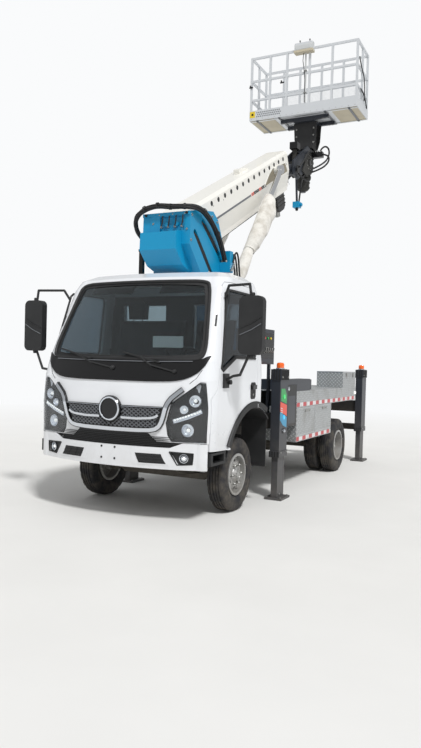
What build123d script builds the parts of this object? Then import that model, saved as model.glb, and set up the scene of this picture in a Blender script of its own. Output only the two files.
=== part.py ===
from build123d import *
from math import atan2, cos, degrees, hypot, pi, radians, sin, sqrt, tan
import os

# Aerial work platform truck. Millimetres, +X is the truck's left, +Y its rear, +Z up.
# Every length below is set from the middle of the front axle on the ground; the finished
# pieces are shifted so that the origin lies under the middle of the whole machine.

os.makedirs("parts", exist_ok=True)

# Running gear
WHEELBASE = 3366
TYRE_R = 391
TYRE_W = 200
TYRE_SIDES = 44
BORE_GAP = 0.02
RIM_R = 205
RIM_FLANGE_R = 222
RIM_FLANGE_T = 11
RIM_WALL = 9
BEAD_W = 152
FRONT_TYRE_X = 809
REAR_OUTER_X = 941
DUAL_SPACING = 240
HUB_R = 82
SPINDLE_R = 30
STUB_R = 42
RUN_GAP = 0.05
PIVOT_GAP = 5
KINGPIN_X = 640
KINGPIN_R = 16
EYE_R = 42
EYE_H = 90
EAR_T = 26

# Chassis
RAIL_IN = 362
RAIL_W = 64
RAIL_Z = 620
RAIL_H = 185
RAIL_T = 8
RAIL_FRONT = -930
RAIL_REAR = 4800
SPRING_X = 394
SPRING_W = 64
SPRING_T = 46

# Cab shell. Each row is one level of the plan outline.
CAB_HALF = 1030
CAB_WALL = 50
CAB_REAR_R = 70
CAB_LEVELS = (
    # z, front middle y, bow of the front, half width, corner radius, rear y
    (700, -1030, 95, CAB_HALF - 10, 130, 330),
    (900, -1050, 110, CAB_HALF - 2, 150, 330),
    (1130, -1072, 120, CAB_HALF, 160, 330),
    (1400, -1035, 110, CAB_HALF, 160, 330),
    (1585, -975, 110, CAB_HALF - 4, 160, 330),
    (2330, -650, 110, CAB_HALF - 72, 160, 318),
    (2440, -560, 100, CAB_HALF - 105, 160, 300),
    (2505, -400, 80, CAB_HALF - 210, 160, 230),
)
CAB_FLOOR_Z = 1105
FOOTWELL_Z = 900
FOOTWELL_REAR = -560
ARCH_Y = 110
ARCH_Z = 420
ARCH_R = 690
DOOR_GAP = 5
DOOR_FRONT = -880
DOOR_REAR = 165
DOOR_SILL = 725
DOOR_TOP = 2385
DOOR_INNER_X = CAB_HALF - 270
GLASS_SET = 10
GLASS_T = 6
SCREEN_TOP = 2392
SCREEN_FOOT = 1592

# Bumper
BUMPER_LOW = 548
BUMPER_TOP = 800
BUMPER_MID_TOP = 752
BUMPER_FRONT = -1105
BUMPER_BOW = 170
BUMPER_HALF = CAB_HALF - 18
BUMPER_T = 28
BUMPER_REAR = -892
BUMPER_PLAN_REAR = -650
PLATE_HOLE_X = 155
PLATE_HOLE_Z = 110
PLATE_HOLE_R = 5.5

# Deck and lockers
DECK_HALF = CAB_HALF + 20
DECK_FRONT = 1390
DECK_REAR = 4200
DECK_Z = 1245
DECK_T = 8
SKIRT_Z = 1040
SKIRT_T = 25
LOCKER_IN = 560
LOCKER_LOW = 612
LOCKER_FRONT = 1400
LOCKER_REAR = WHEELBASE - TYRE_R - 95
LOCKER_TOP = SKIRT_Z - 2
BOX_IN = 640
BOX_FRONT = 3460
BOX_REAR = 4180
BOX_TOP = 1480
SUB_TOP = 1005

# Outriggers
LEG_FRONT_Y = 890
LEG_REAR_Y = 4690
LEG_OUT_X = DECK_HALF + 20
LEG_W = 112
LEG_D = 250
LEG_WALL = 12
LEG_LOW = 520
COLLAR_LOW = 495
LIP = 8
LEG_TOP = 1495
STEM_GAP = 6
STEM_TOP = 1000
FOOT_T = 26
FOOT_W = 210
FOOT_D = 290
BEAM_H = 150
BEAM_D = 130
BEAM_Z = 835
BEAM_WALL = 10
BEAM_GAP = 6
PAD_GAP = 0.3
CROSS_IN = 15

# Turret and boom
SLEW_Y = 1200
SLEW_RING_R = 330
SLEW_Z = 1330
SLEW_GAP = 5
CHEEK_IN = 196
CHEEK_OUT = 300
PIVOT_Y = 300
PIVOT_Z = 3060
PIVOT_R = 42
BOOM_RISE = 26.8
BOOM_LEN = 3290
BOOM_H = 584
BOOM_HALF = 168
BOOM_WALL = 14
BOOM_STEP = 30
INNER_SHOW = 110
TIP_SHOW = 200
HOLE_PITCH = 200
HOLE_R = 22
HOLES = 14
HOLE_START = 515

# Lift cylinders, seen between the foot on the turret and the eye beside the boom
RAM_X = 250
RAM_FOOT_Y = 891
RAM_FOOT_Z = 2150
RAM_EYE_Y = 2700
RAM_EYE_Z = 4400
BARREL_R = 62
BARREL_LEN = 1750
ROD_R = 38
ROD_IN = 880
RAM_EYE_R = 62
RAM_EYE_W = 70

# Head and basket
HEAD_Y = 3745
HEAD_Z = 4700
COLUMN_Y = 4560
COLUMN_LOW = 5215
BASKET_Z = 5750
BASKET_LEN = 1880
BASKET_WID = 700
BASKET_H = 1080
BASKET_TUBE = 17
KICK_H = 170
FLOOR_T = 40
KICK_T = 4
POSTS_X = (-1, -0.63, -0.3, 0.13, 0.55, 1)
RAIL_LEVELS = (0.34, 0.64, 1.0)
CONTROL_LOW_X = -120
CONTROL_HIGH_X = 180

# Middle of the whole machine, used to place the origin
FRONT_END = BUMPER_FRONT
REAR_END = COLUMN_Y + BASKET_WID / 2
MID_Y = (FRONT_END + REAR_END) / 2


def box(x0, x1, y0, y1, z0, z1):
    return Pos((x0 + x1) / 2, (y0 + y1) / 2, (z0 + z1) / 2) * Box(abs(x1 - x0), abs(y1 - y0), abs(z1 - z0))


def side_prism(x0, x1, points):
    """Solid between two x values whose outline is given as (y, z) points."""
    return extrude(Plane.YZ.offset(x0) * make_face(Polyline(*points, close=True)), amount=x1 - x0)


def front_prism(y0, y1, points):
    """Solid between two y values whose outline is given as (x, z) points."""
    return extrude(Plane.XZ.offset(-y1) * make_face(Polyline(*points, close=True)), amount=y1 - y0)


def cross_bar(x0, x1, y, z, radius):
    """Round bar along X."""
    return Plane(origin=(x0, y, z), z_dir=(1, 0, 0)) * Cylinder(radius, x1 - x0, align=FROM_BASE)


def post(x, y, z0, z1, radius):
    return Pos(x, y, z0) * Cylinder(radius, z1 - z0, align=FROM_BASE)


def lengthwise(x, y0, y1, z, radius):
    return Plane(origin=(x, y0, z), z_dir=(0, 1, 0)) * Cylinder(radius, y1 - y0, align=FROM_BASE)


def link(a, b, radius):
    """Round bar between two points."""
    a = Vector(*a)
    b = Vector(*b)
    return Plane(origin=a, z_dir=b - a) * Cylinder(radius, (b - a).length, align=FROM_BASE)


def mirrored(shape):
    return mirror(shape, about=Plane.YZ)


def parts_of(*shapes):
    """One compound of separate solids."""
    return Compound([solid for shape in shapes for solid in shape.solids()])


def both(shape):
    return parts_of(shape, mirrored(shape))


def save(name, shape):
    export_step(Pos(0, -MID_Y, 0) * shape, "parts/" + name + ".step")


FROM_BASE = (Align.CENTER, Align.CENTER, Align.MIN)


# Wheels, turned about the axle
def spun(points, y):
    """Revolve (x, radius) points about the axle line at y."""
    plane = Plane(origin=(0, y, TYRE_R), x_dir=(1, 0, 0), z_dir=(0, -1, 0))
    return revolve(plane * make_face(Polyline(*points, close=True)), axis=Axis((0, y, TYRE_R), (1, 0, 0)))


def faceted_ring(profile, x, y, sides):
    """Ring of flat facets. The profile is (offset, corner radius) once round the section, and each ring of
    corners has one at the bottom."""
    sections = []
    for k in range(sides):
        turn = 2 * pi * k / sides
        sections.append([(x + a, y + r * sin(turn), TYRE_R - r * cos(turn)) for a, r in profile])
    facets = []
    for near, far in zip(sections, sections[1:] + sections[:1]):
        for i in range(len(profile)):
            j = (i + 1) % len(profile)
            facets.append(Face(Wire.make_polygon([near[i], near[j], far[j], far[i]])))
    return Solid(Shell(facets))


def tyre(x, y):
    """Tyre whose sidewalls dish in to the rim's flanges."""
    half = TYRE_W / 2
    bead = BEAD_W / 2
    bore = (RIM_R + BORE_GAP) / cos(pi / TYRE_SIDES)
    wall = [(bead, bore), (bead, RIM_FLANGE_R + 12), (half, 300), (half - 6, 352), (half - 22, TYRE_R - 6)]
    return faceted_ring(wall + [(0, TYRE_R)] + [(-a, r) for a, r in reversed(wall)], x, y, TYRE_SIDES)


def rim_barrel(x, y):
    bead = BEAD_W / 2
    edge = bead + RIM_FLANGE_T
    outer = ((-edge, RIM_FLANGE_R), (-bead, RIM_FLANGE_R), (-bead, RIM_R), (bead, RIM_R),
             (bead, RIM_FLANGE_R), (edge, RIM_FLANGE_R), (edge, RIM_R - RIM_WALL), (-edge, RIM_R - RIM_WALL))
    return spun([(x + a, r) for a, r in outer], y)


def rim_disc(x0, x1, y, bore):
    """Dished disc from the barrel at x0 to the hub face at x1."""
    step = (x1 - x0) / 3
    face = [(x0, RIM_R - RIM_WALL + 1), (x0 + step, 168), (x1, 128), (x1, bore)]
    back = [(x1 - 12, bore), (x1 - 12, 122), (x0 + step - 12, 160), (x0 - 16, RIM_R - RIM_WALL + 1)]
    return spun(face + back, y)


def hand_holes(x, y, count, radius, size, reach):
    holes = []
    for k in range(count):
        turn = 2 * pi * (k + 0.5) / count
        place = (x - reach, y + radius * cos(turn), TYRE_R + radius * sin(turn))
        holes.append(Plane(origin=place, z_dir=(1, 0, 0)) * Cylinder(size, 2 * reach, align=FROM_BASE))
    return holes


HAND_HOLES = 6
HAND_HOLE_R = 19
FRONT_HUB_IN = 742
FRONT_HUB_OUT = 905
front_disc_x = FRONT_TYRE_X + 62
front_rim = rim_barrel(FRONT_TYRE_X, 0) + rim_disc(FRONT_TYRE_X + 30, front_disc_x, 0, SPINDLE_R + RUN_GAP)
front_rim -= hand_holes(FRONT_TYRE_X + 40, 0, HAND_HOLES, 147, HAND_HOLE_R, 40)
front_hub = spun([(FRONT_HUB_IN, SPINDLE_R + RUN_GAP), (FRONT_HUB_IN, 96), (front_disc_x, 96),
                  (front_disc_x, HUB_R), (FRONT_HUB_OUT - 25, HUB_R - 6), (FRONT_HUB_OUT, 52),
                  (FRONT_HUB_OUT, 0), (FRONT_HUB_OUT - 20, 0), (FRONT_HUB_OUT - 20, SPINDLE_R + RUN_GAP)], 0)
front_rim += front_hub
front_tyre = tyre(FRONT_TYRE_X, 0)

REAR_INNER_X = REAR_OUTER_X - DUAL_SPACING
rear_face_x = (REAR_OUTER_X + REAR_INNER_X) / 2
rear_rim = rim_barrel(REAR_OUTER_X, WHEELBASE) + rim_barrel(REAR_INNER_X, WHEELBASE)
rear_rim += rim_disc(REAR_OUTER_X - 42, rear_face_x + 12, WHEELBASE, 90)
rear_rim += rim_disc(REAR_INNER_X + 58, rear_face_x + 4, WHEELBASE, 90)
rear_rim -= hand_holes(rear_face_x + 30, WHEELBASE, HAND_HOLES, 147, HAND_HOLE_R, 80)
REAR_HUB_IN = 600
REAR_HUB_OUT = 965
rear_hub = spun([(REAR_HUB_IN, STUB_R + RUN_GAP), (REAR_HUB_IN, 92), (rear_face_x + 12, 92),
                 (rear_face_x + 12, HUB_R + 8), (REAR_HUB_OUT - 25, HUB_R), (REAR_HUB_OUT, 60),
                 (REAR_HUB_OUT, 0), (REAR_HUB_OUT - 20, 0), (REAR_HUB_OUT - 20, STUB_R + RUN_GAP)], WHEELBASE)
rear_rim += rear_hub
rear_tyres = parts_of(tyre(REAR_OUTER_X, WHEELBASE), tyre(REAR_INNER_X, WHEELBASE))

# Steered knuckles: a fork round the axle's eye with its kingpin and the wheel spindle
eye_low = TYRE_R - EYE_H / 2
eye_high = TYRE_R + EYE_H / 2
knuckle = post(KINGPIN_X, 0, eye_low - PIVOT_GAP - EAR_T, eye_high + PIVOT_GAP + EAR_T, KINGPIN_R)
for ear_z in (eye_low - PIVOT_GAP - EAR_T, eye_high + PIVOT_GAP):
    knuckle += post(KINGPIN_X, 0, ear_z, ear_z + EAR_T, EYE_R - 4)
    knuckle += box(KINGPIN_X, KINGPIN_X + 78, -34, 34, ear_z, ear_z + EAR_T)
web_in = KINGPIN_X + EYE_R + 8
knuckle += box(web_in, KINGPIN_X + 78, -34, 34, eye_low - PIVOT_GAP - EAR_T, eye_high + PIVOT_GAP + EAR_T)
knuckle += cross_bar(KINGPIN_X + 70, FRONT_HUB_IN - 8, 0, TYRE_R, 60)
knuckle += cross_bar(KINGPIN_X + 70, FRONT_HUB_OUT - 24, 0, TYRE_R, SPINDLE_R)
STEER_ARM = 150
ear_low = eye_low - PIVOT_GAP - EAR_T
knuckle += box(KINGPIN_X - 20, KINGPIN_X + 12, 20, STEER_ARM, ear_low, ear_low + EAR_T - 4)

# Axles with their springs
beam = box(-520, 520, -32, 32, 300, 365)
for side in (1, -1):
    arm = [(500, 300), (500, 365), (KINGPIN_X - EYE_R + 12, eye_high - 8), (KINGPIN_X - 10, eye_high - 8),
           (KINGPIN_X - 10, eye_low + 8), (KINGPIN_X - EYE_R, eye_low + 8)]
    beam += front_prism(-32, 32, [(side * x, z) for x, z in arm])
    beam += post(side * KINGPIN_X, 0, eye_low, eye_high, EYE_R)
for side in (1, -1):
    beam -= post(side * KINGPIN_X, 0, eye_low, eye_high, KINGPIN_R + RUN_GAP)


def leaf_spring(y, pad_z, reach, eye_z):
    """Bowed leaf pack from its middle on the axle pad up to an eye at each end."""
    low = ThreePointArc((y - reach, eye_z), (y, pad_z), (y + reach, eye_z))
    high = ThreePointArc((y + reach, eye_z + 14), (y, pad_z + SPRING_T), (y - reach, eye_z + 14))
    ends = (Line(low @ 1, high @ 0), Line(high @ 1, low @ 0))
    leaf = Plane.YZ.offset(SPRING_X - SPRING_W / 2) * make_face(Curve() + [low, high, *ends])
    spring = extrude(leaf, amount=SPRING_W)
    for end_y in (y - reach, y + reach):
        spring += cross_bar(SPRING_X - SPRING_W / 2, SPRING_X + SPRING_W / 2, end_y, eye_z + 7, 26)
        spring += box(SPRING_X - 22, SPRING_X + 22, end_y - 16, end_y + 16, eye_z + 7, RAIL_Z)
    return spring


front_spring = leaf_spring(0, 365 + PAD_GAP, 560, 480)
REAR_AXLE_R = 66
rear_housing = cross_bar(-590, 590, WHEELBASE, TYRE_R, REAR_AXLE_R)
rear_housing += cross_bar(-140, 140, WHEELBASE, TYRE_R, 165)
rear_housing += cross_bar(-REAR_HUB_OUT + 24, REAR_HUB_OUT - 24, WHEELBASE, TYRE_R, STUB_R)
rear_housing += lengthwise(0, WHEELBASE - 270, WHEELBASE, TYRE_R, 90)
for x in (-SPRING_X, SPRING_X):
    rear_housing += box(x - 45, x + 45, WHEELBASE - 60, WHEELBASE + 60, TYRE_R, 470)
rear_spring = leaf_spring(WHEELBASE, 470 + PAD_GAP, 640, 545)
ENGINE_REAR = 480
SHAFT_R = 38
shaft_start = ENGINE_REAR + PAD_GAP
shaft_end = WHEELBASE - 270 - PAD_GAP
drive_shaft = link((0, shaft_start - 20, 545), (0, shaft_end + 20, TYRE_R), SHAFT_R)
drive_shaft &= box(-SHAFT_R, SHAFT_R, shaft_start, shaft_end, 300, 600)
drive_shaft += lengthwise(0, shaft_start, shaft_start + 40, 545, SHAFT_R + 14)
drive_shaft += lengthwise(0, shaft_end - 40, shaft_end, TYRE_R, SHAFT_R + 14)
axles = parts_of(beam, rear_housing, both(front_spring), both(rear_spring), drive_shaft)

# Chassis ladder and the subframe that carries deck and turret
rail = box(RAIL_IN, RAIL_IN + RAIL_W, RAIL_FRONT, RAIL_REAR, RAIL_Z, RAIL_Z + RAIL_H)
rail -= box(RAIL_IN - 1, RAIL_IN + RAIL_W - RAIL_T, RAIL_FRONT - 1, RAIL_REAR + 1,
            RAIL_Z + RAIL_T, RAIL_Z + RAIL_H - RAIL_T)
web_in = RAIL_IN + RAIL_W - RAIL_T - PAD_GAP
CROSS_MEMBERS = (-880, 560, 1500, 2250, 2900, 3900, 4740)
members = [box(-web_in, web_in, y - 35, y + 35, RAIL_Z + 20, RAIL_Z + 140) for y in CROSS_MEMBERS]
SUB_IN = 330
SUB_W = 96
SUB_FRONT = 640
sub_out = SUB_IN + SUB_W
sub_rail = box(SUB_IN, sub_out, SUB_FRONT, RAIL_REAR, RAIL_Z + RAIL_H + PAD_GAP, SUB_TOP)
DECK_BEARERS = (1575, 2050, 2700, 3366, 4150)
deck_under = DECK_Z - DECK_T
skirt_in = DECK_HALF - SKIRT_T - PAD_GAP
bearers = []
for y in DECK_BEARERS:
    foot = box(-sub_out, sub_out, y - 30, y + 30, SUB_TOP + PAD_GAP, deck_under - PAD_GAP)
    wing = box(-skirt_in, skirt_in, y - 30, y + 30, LOCKER_TOP + PAD_GAP, deck_under - PAD_GAP)
    bearers.append(foot + wing)

# Cross boxes hold the sliding outrigger beams
bore_h = BEAM_H + 2 * BEAM_GAP
bore_d = BEAM_D + 2 * BEAM_GAP
box_out = LEG_OUT_X - LEG_W - 8


def cross_box(y, grow):
    """Outside of the box round one pair of beams."""
    deep = bore_d / 2 + BEAM_WALL + grow
    return box(-box_out, box_out, y - deep, y + deep, BEAM_Z - BEAM_GAP - BEAM_WALL - grow,
               BEAM_Z + BEAM_H + BEAM_GAP + BEAM_WALL + grow)


cross_boxes = []
for y in (LEG_FRONT_Y, LEG_REAR_Y):
    bore = box(-box_out - 1, box_out + 1, y - bore_d / 2, y + bore_d / 2,
               BEAM_Z - BEAM_GAP, BEAM_Z + BEAM_H + BEAM_GAP)
    cross_boxes.append(cross_box(y, 0) - bore)
    sub_rail -= cross_box(y, PAD_GAP)
panel = box(DECK_HALF - SKIRT_T, DECK_HALF, LEG_FRONT_Y + LEG_D / 2 + 14, LOCKER_FRONT - 12, 830, 1330)
panel += box(sub_out + PAD_GAP, DECK_HALF - SKIRT_T, 1140, 1180, 860, 940)
subframe = parts_of(both(sub_rail), *bearers, *cross_boxes, both(panel))

engine = box(-290, 290, -560, ENGINE_REAR, 520, 1040)

# Cab
def cab_level(z, front, bow, half, radius, rear, inset):
    """Plan outline of the cab at one height, drawn in by the inset."""
    front += inset
    half -= inset
    rear -= inset
    round_off = max(radius - inset, 40)
    rear_round = max(CAB_REAR_R - inset, 20)
    side_y = front + bow + round_off
    k = sqrt(0.5)
    arc_mid = (half - round_off + round_off * k, side_y - round_off * k)
    rear_mid = (half - rear_round + rear_round * k, rear - rear_round + rear_round * k)
    outline = [
        ThreePointArc((-half + round_off, front + bow), (0, front), (half - round_off, front + bow)),
        ThreePointArc((half - round_off, front + bow), arc_mid, (half, side_y)),
        Line((half, side_y), (half, rear - rear_round)),
        ThreePointArc((half, rear - rear_round), rear_mid, (half - rear_round, rear)),
        Line((half - rear_round, rear), (-half + rear_round, rear)),
        ThreePointArc((-half + rear_round, rear), (-rear_mid[0], rear_mid[1]), (-half, rear - rear_round)),
        Line((-half, rear - rear_round), (-half, side_y)),
        ThreePointArc((-half, side_y), (-arc_mid[0], arc_mid[1]), (-half + round_off, front + bow)),
    ]
    return Plane.XY.offset(z) * make_face(Curve() + outline)


def cab_block(inset, low=None):
    levels = list(CAB_LEVELS)
    sections = []
    for index, (z, front, bow, half, radius, rear) in enumerate(levels):
        if index == 0:
            z = z + inset if low is None else low
        elif index == len(levels) - 1:
            z = z - inset
        elif z > DOOR_TOP:
            z = z - inset / 2
        sections.append(cab_level(z, front, bow, half, radius, rear, inset))
    return loft(sections, ruled=True)


cab_skin = cab_block(0)
cab_room = cab_block(CAB_WALL, low=CAB_LEVELS[0][0] - 60)

# Under the seats the cab stops at the floor, and in front of it at the tunnel
under_seats = box(-1200, 1200, FOOTWELL_REAR, 500, 600, CAB_FLOOR_Z)
arch_cut = cross_bar(-1200, 1200, ARCH_Y, ARCH_Z, ARCH_R)
under_floor = cab_room & box(-1200, 1200, -1300, 500, 600, FOOTWELL_Z)
side_foot = box(-1200, 1200, DOOR_FRONT - DOOR_GAP, 500, 600, FOOTWELL_Z)
room_low = box(-1200, 1200, -1200, 500, 600, FOOTWELL_Z + CAB_WALL)
room_rear = box(-1200, 1200, FOOTWELL_REAR - CAB_WALL, 500, 600, CAB_FLOOR_Z + CAB_WALL)
cab_hollow = cab_room - room_low - room_rear

door_edge = [
    (DOOR_FRONT, DOOR_SILL), (DOOR_FRONT, 1225), (-800, 1330), (-770, 1500), (-560, 2200), (-505, 2335),
    (-450, DOOR_TOP), (100, DOOR_TOP), (DOOR_REAR, 2330), (DOOR_REAR, 700), (-200, 700),
]


def door_region(shrink):
    """Side view of the door opening, drawn in by the gap, cut by the wheel arch."""
    face = make_face(Polyline(*door_edge, close=True))
    if shrink:
        face = offset(face, amount=-shrink, kind=Kind.INTERSECTION)
    region = extrude(Plane.YZ.offset(DOOR_INNER_X + shrink) * face, amount=500)
    return region - cross_bar(DOOR_INNER_X, 1300, ARCH_Y, ARCH_Z, ARCH_R + shrink)


window_edge = [(-736, 1520), (-708, 1500), (-400, 1640), (90, 1640), (118, 1670), (118, 2270), (90, 2300),
               (-465, 2300), (-505, 2270)]
window_cut = side_prism(DOOR_INNER_X, DOOR_INNER_X + 500, window_edge)

cab_solid = cab_skin - under_seats - under_floor - side_foot - arch_cut
cab_shell = cab_solid - cab_hollow
door_hole = door_region(0)
door_sheet = (cab_skin - cab_room) & door_region(DOOR_GAP)
door = door_sheet - window_cut
FLARE_PROUD = 16
FLARE_W = 36
flare = cross_bar(CAB_HALF - 30, CAB_HALF + FLARE_PROUD, ARCH_Y, ARCH_Z, ARCH_R + FLARE_W)
flare -= cross_bar(CAB_HALF - 31, CAB_HALF + FLARE_PROUD + 1, ARCH_Y, ARCH_Z, ARCH_R)
door += flare & door_region(DOOR_GAP)
cab_rear = CAB_LEVELS[0][5]
flare_rear = flare & box(CAB_HALF - 30, CAB_HALF + FLARE_PROUD, DOOR_REAR, cab_rear - CAB_REAR_R, 600, 1300)
cab_shell += flare_rear + mirrored(flare_rear)
glass_sheet = cab_block(GLASS_SET) - cab_block(GLASS_SET + GLASS_T)
door_glass = glass_sheet & window_cut

screen_low_half = 905
screen_top_half = 792
screen_right = [(screen_low_half - 70, SCREEN_FOOT), (screen_low_half, SCREEN_FOOT + 60),
                (screen_top_half, SCREEN_TOP - 60), (screen_top_half - 60, SCREEN_TOP)]
screen_cut = front_prism(-1300, 0, screen_right + [(-x, z) for x, z in reversed(screen_right)])
REAR_WINDOWS = ((-760, -190), (190, 760))
rear_cut = [box(a, b, 200, 500, 1720, 2220) for a, b in REAR_WINDOWS]
screen = glass_sheet & screen_cut
rear_glass = [glass_sheet & cut for cut in rear_cut]

# Lamp pockets and grille mouth in the front
lamp_edge = [(905, 1385), (640, 1180), (585, 985), (600, 870), (640, BUMPER_TOP + 8), (1000, BUMPER_TOP + 8),
             (1000, 1385)]
lamp_cut = front_prism(-1300, -700, lamp_edge)
lamp_zone = box(500, 1100, -1300, DOOR_FRONT - 20, 700, 1500)
lamp_cut = lamp_cut & lamp_zone
LAMP_DEPTH = 45
lamp_sheet = cab_skin - cab_block(LAMP_DEPTH)
headlamp = lamp_sheet & lamp_cut
cab_shell = cab_shell - screen_cut - rear_cut - door_hole - mirrored(door_hole)
cab_shell = cab_shell - lamp_cut - mirrored(lamp_cut)
cab_shell -= box(-1200, 1200, -1300, DOOR_FRONT - 5, 600, BUMPER_TOP + 4)
GRILLE_PROUD = 14
grille_edge = [(-560, 1140), (560, 1140), (520, 960), (440, 880), (-440, 880), (-520, 960)]
cowl_edge = [(-930, SCREEN_FOOT - 12), (930, SCREEN_FOOT - 12), (840, 1430), (700, 1375), (-700, 1375),
             (-840, 1430)]
proud = cab_block(-GRILLE_PROUD, low=700) - cab_skin
grille = proud & front_prism(-1300, -700, grille_edge)
cowl = proud & front_prism(-1300, -700, cowl_edge)
BAND_PROUD = 26
BADGE_Z = 1100
BADGE_R = 128
band_out = [(872, 1392), (622, 1196), (562, 985), (500, 898)]
band_in = [(484, 934), (530, 1000), (590, 1212), (834, 1392)]
band_edge = band_out + [(-x, z) for x, z in reversed(band_out)]
band_edge += [(-x, z) for x, z in reversed(band_in)] + band_in
grille += (cab_block(-BAND_PROUD, low=700) - cab_skin) & front_prism(-1300, -700, band_edge)
badge = lengthwise(0, -1106, -1040, BADGE_Z, BADGE_R) - lengthwise(0, -1107, -1098, BADGE_Z, BADGE_R - 22)
grille += badge - cab_skin
cab_glass = parts_of(screen, *rear_glass)

# Inside: dashboard with steering wheel, and the seats
dash = side_prism(-900, 900, [(-880, 1180), (-900, 1500), (-820, 1590), (-620, 1570), (-560, 1480),
                              (-600, 1300), (-640, 1180)])
WHEEL_X = 470
WHEEL_Y = -430
WHEEL_Z = 1640
wheel_axis = Vector(0, 0.42, 0.9)
ring_plane = Plane(origin=(WHEEL_X, WHEEL_Y, WHEEL_Z), z_dir=wheel_axis)
steering = ring_plane * revolve(Plane.XZ * Pos(205, 0) * RegularPolygon(15, 6), axis=Axis.Z)
steering += ring_plane * Cylinder(45, 30)
for turn in (90, 210, 330):
    tip = ring_plane.from_local_coords((200 * cos(radians(turn)), 200 * sin(radians(turn)), 0))
    steering += link((WHEEL_X, WHEEL_Y, WHEEL_Z), tuple(tip), 11)
steering += link((WHEEL_X, WHEEL_Y, WHEEL_Z), (WHEEL_X, WHEEL_Y - 0.42 * 330, WHEEL_Z - 0.9 * 330), 28)
dash = (dash & cab_block(CAB_WALL + 1)) + steering
SEATS = (
    # middle x, width
    (500, 480),
    (-330, 900),
)
seats = []
seat_floor = CAB_FLOOR_Z + CAB_WALL
for x, width in SEATS:
    base = box(x - width / 2 + 30, x + width / 2 - 30, -330, 150, seat_floor, 1400)
    cushion = box(x - width / 2, x + width / 2, -360, 170, 1400, 1510)
    back = side_prism(x - width / 2, x + width / 2, [(60, 1510), (170, 1510), (255, 2060), (165, 2060)])
    seats.append(base + cushion + back)
seats = parts_of(*seats)

# Bumper, a curved channel with lamp and air openings
def bumper_plan(inset, z):
    front = BUMPER_FRONT + inset
    half = BUMPER_HALF - inset
    corner = 120 - inset
    edge_y = front + BUMPER_BOW
    k = sqrt(0.5)
    mid = (half - corner + corner * k, edge_y + corner - corner * k)
    outline = [
        ThreePointArc((-half + corner, edge_y), (0, front), (half - corner, edge_y)),
        ThreePointArc((half - corner, edge_y), mid, (half, edge_y + corner)),
        Line((half, edge_y + corner), (half, BUMPER_PLAN_REAR)),
        Line((half, BUMPER_PLAN_REAR), (-half, BUMPER_PLAN_REAR)),
        Line((-half, BUMPER_PLAN_REAR), (-half, edge_y + corner)),
        ThreePointArc((-half, edge_y + corner), (-mid[0], mid[1]), (-half + corner, edge_y)),
    ]
    return Plane.XY.offset(z) * make_face(Curve() + outline)


bumper = extrude(bumper_plan(0, BUMPER_LOW), amount=BUMPER_TOP - BUMPER_LOW)
bumper -= extrude(bumper_plan(BUMPER_T, BUMPER_LOW - 1), amount=BUMPER_TOP - BUMPER_LOW + 2)
bumper -= box(-BUMPER_HALF - 1, BUMPER_HALF + 1, BUMPER_REAR, BUMPER_PLAN_REAR + 1,
              BUMPER_LOW - 1, BUMPER_TOP + 1)
intake_edge = [(-760, BUMPER_TOP + 1), (-640, BUMPER_MID_TOP), (640, BUMPER_MID_TOP), (760, BUMPER_TOP + 1)]
bumper -= front_prism(-1300, BUMPER_REAR + 1, intake_edge)
vent_edge = [(270, 725), (480, 715), (450, 645), (330, 640)]
fog_edge = [(640, 715), (860, 705), (850, 610), (720, 600)]
for edge in (vent_edge, fog_edge):
    cut = front_prism(-1300, -850, edge)
    bumper = bumper - cut - mirrored(cut)
bumper_tie = box(RAIL_IN, RAIL_IN + RAIL_W, BUMPER_FRONT + BUMPER_T + 8, RAIL_FRONT,
                 RAIL_Z + 10, RAIL_Z + 110)
bumper_bar = box(-RAIL_IN - RAIL_W, RAIL_IN + RAIL_W, RAIL_FRONT - 30, RAIL_FRONT, RAIL_Z + 10, RAIL_Z + 110)
bumper = bumper + bumper_tie + mirrored(bumper_tie) + bumper_bar
for x in (-PLATE_HOLE_X / 2, PLATE_HOLE_X / 2):
    for z in (-PLATE_HOLE_Z / 2, PLATE_HOLE_Z / 2):
        bumper -= lengthwise(x, -1300, -1000, (BUMPER_LOW + BUMPER_TOP) / 2 + z, PLATE_HOLE_R)
fog_sheet_out = extrude(bumper_plan(6, 560), amount=180)
fog_sheet = fog_sheet_out - extrude(bumper_plan(24, 559), amount=182)
fog_lamp = fog_sheet & front_prism(-1300, -850, fog_edge)

# Rear lamps, on the underrun bar
TAIL_Y = 4872
UNDERRUN_HALF = LEG_OUT_X - LEG_W - 26
underrun = box(-UNDERRUN_HALF, UNDERRUN_HALF, TAIL_Y - 60, TAIL_Y, 500, 600)
for x in (-SPRING_X, SPRING_X):
    underrun += box(x - 32, x + 32, RAIL_REAR - 60, TAIL_Y - 10, 560, RAIL_Z - PAD_GAP)
tail_lamp = box(640, 900, TAIL_Y, TAIL_Y + 30, 505, 595)
lamps = parts_of(headlamp, mirrored(headlamp), fog_lamp, mirrored(fog_lamp), tail_lamp, mirrored(tail_lamp))
chassis = parts_of(both(rail), *members, underrun)

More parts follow.
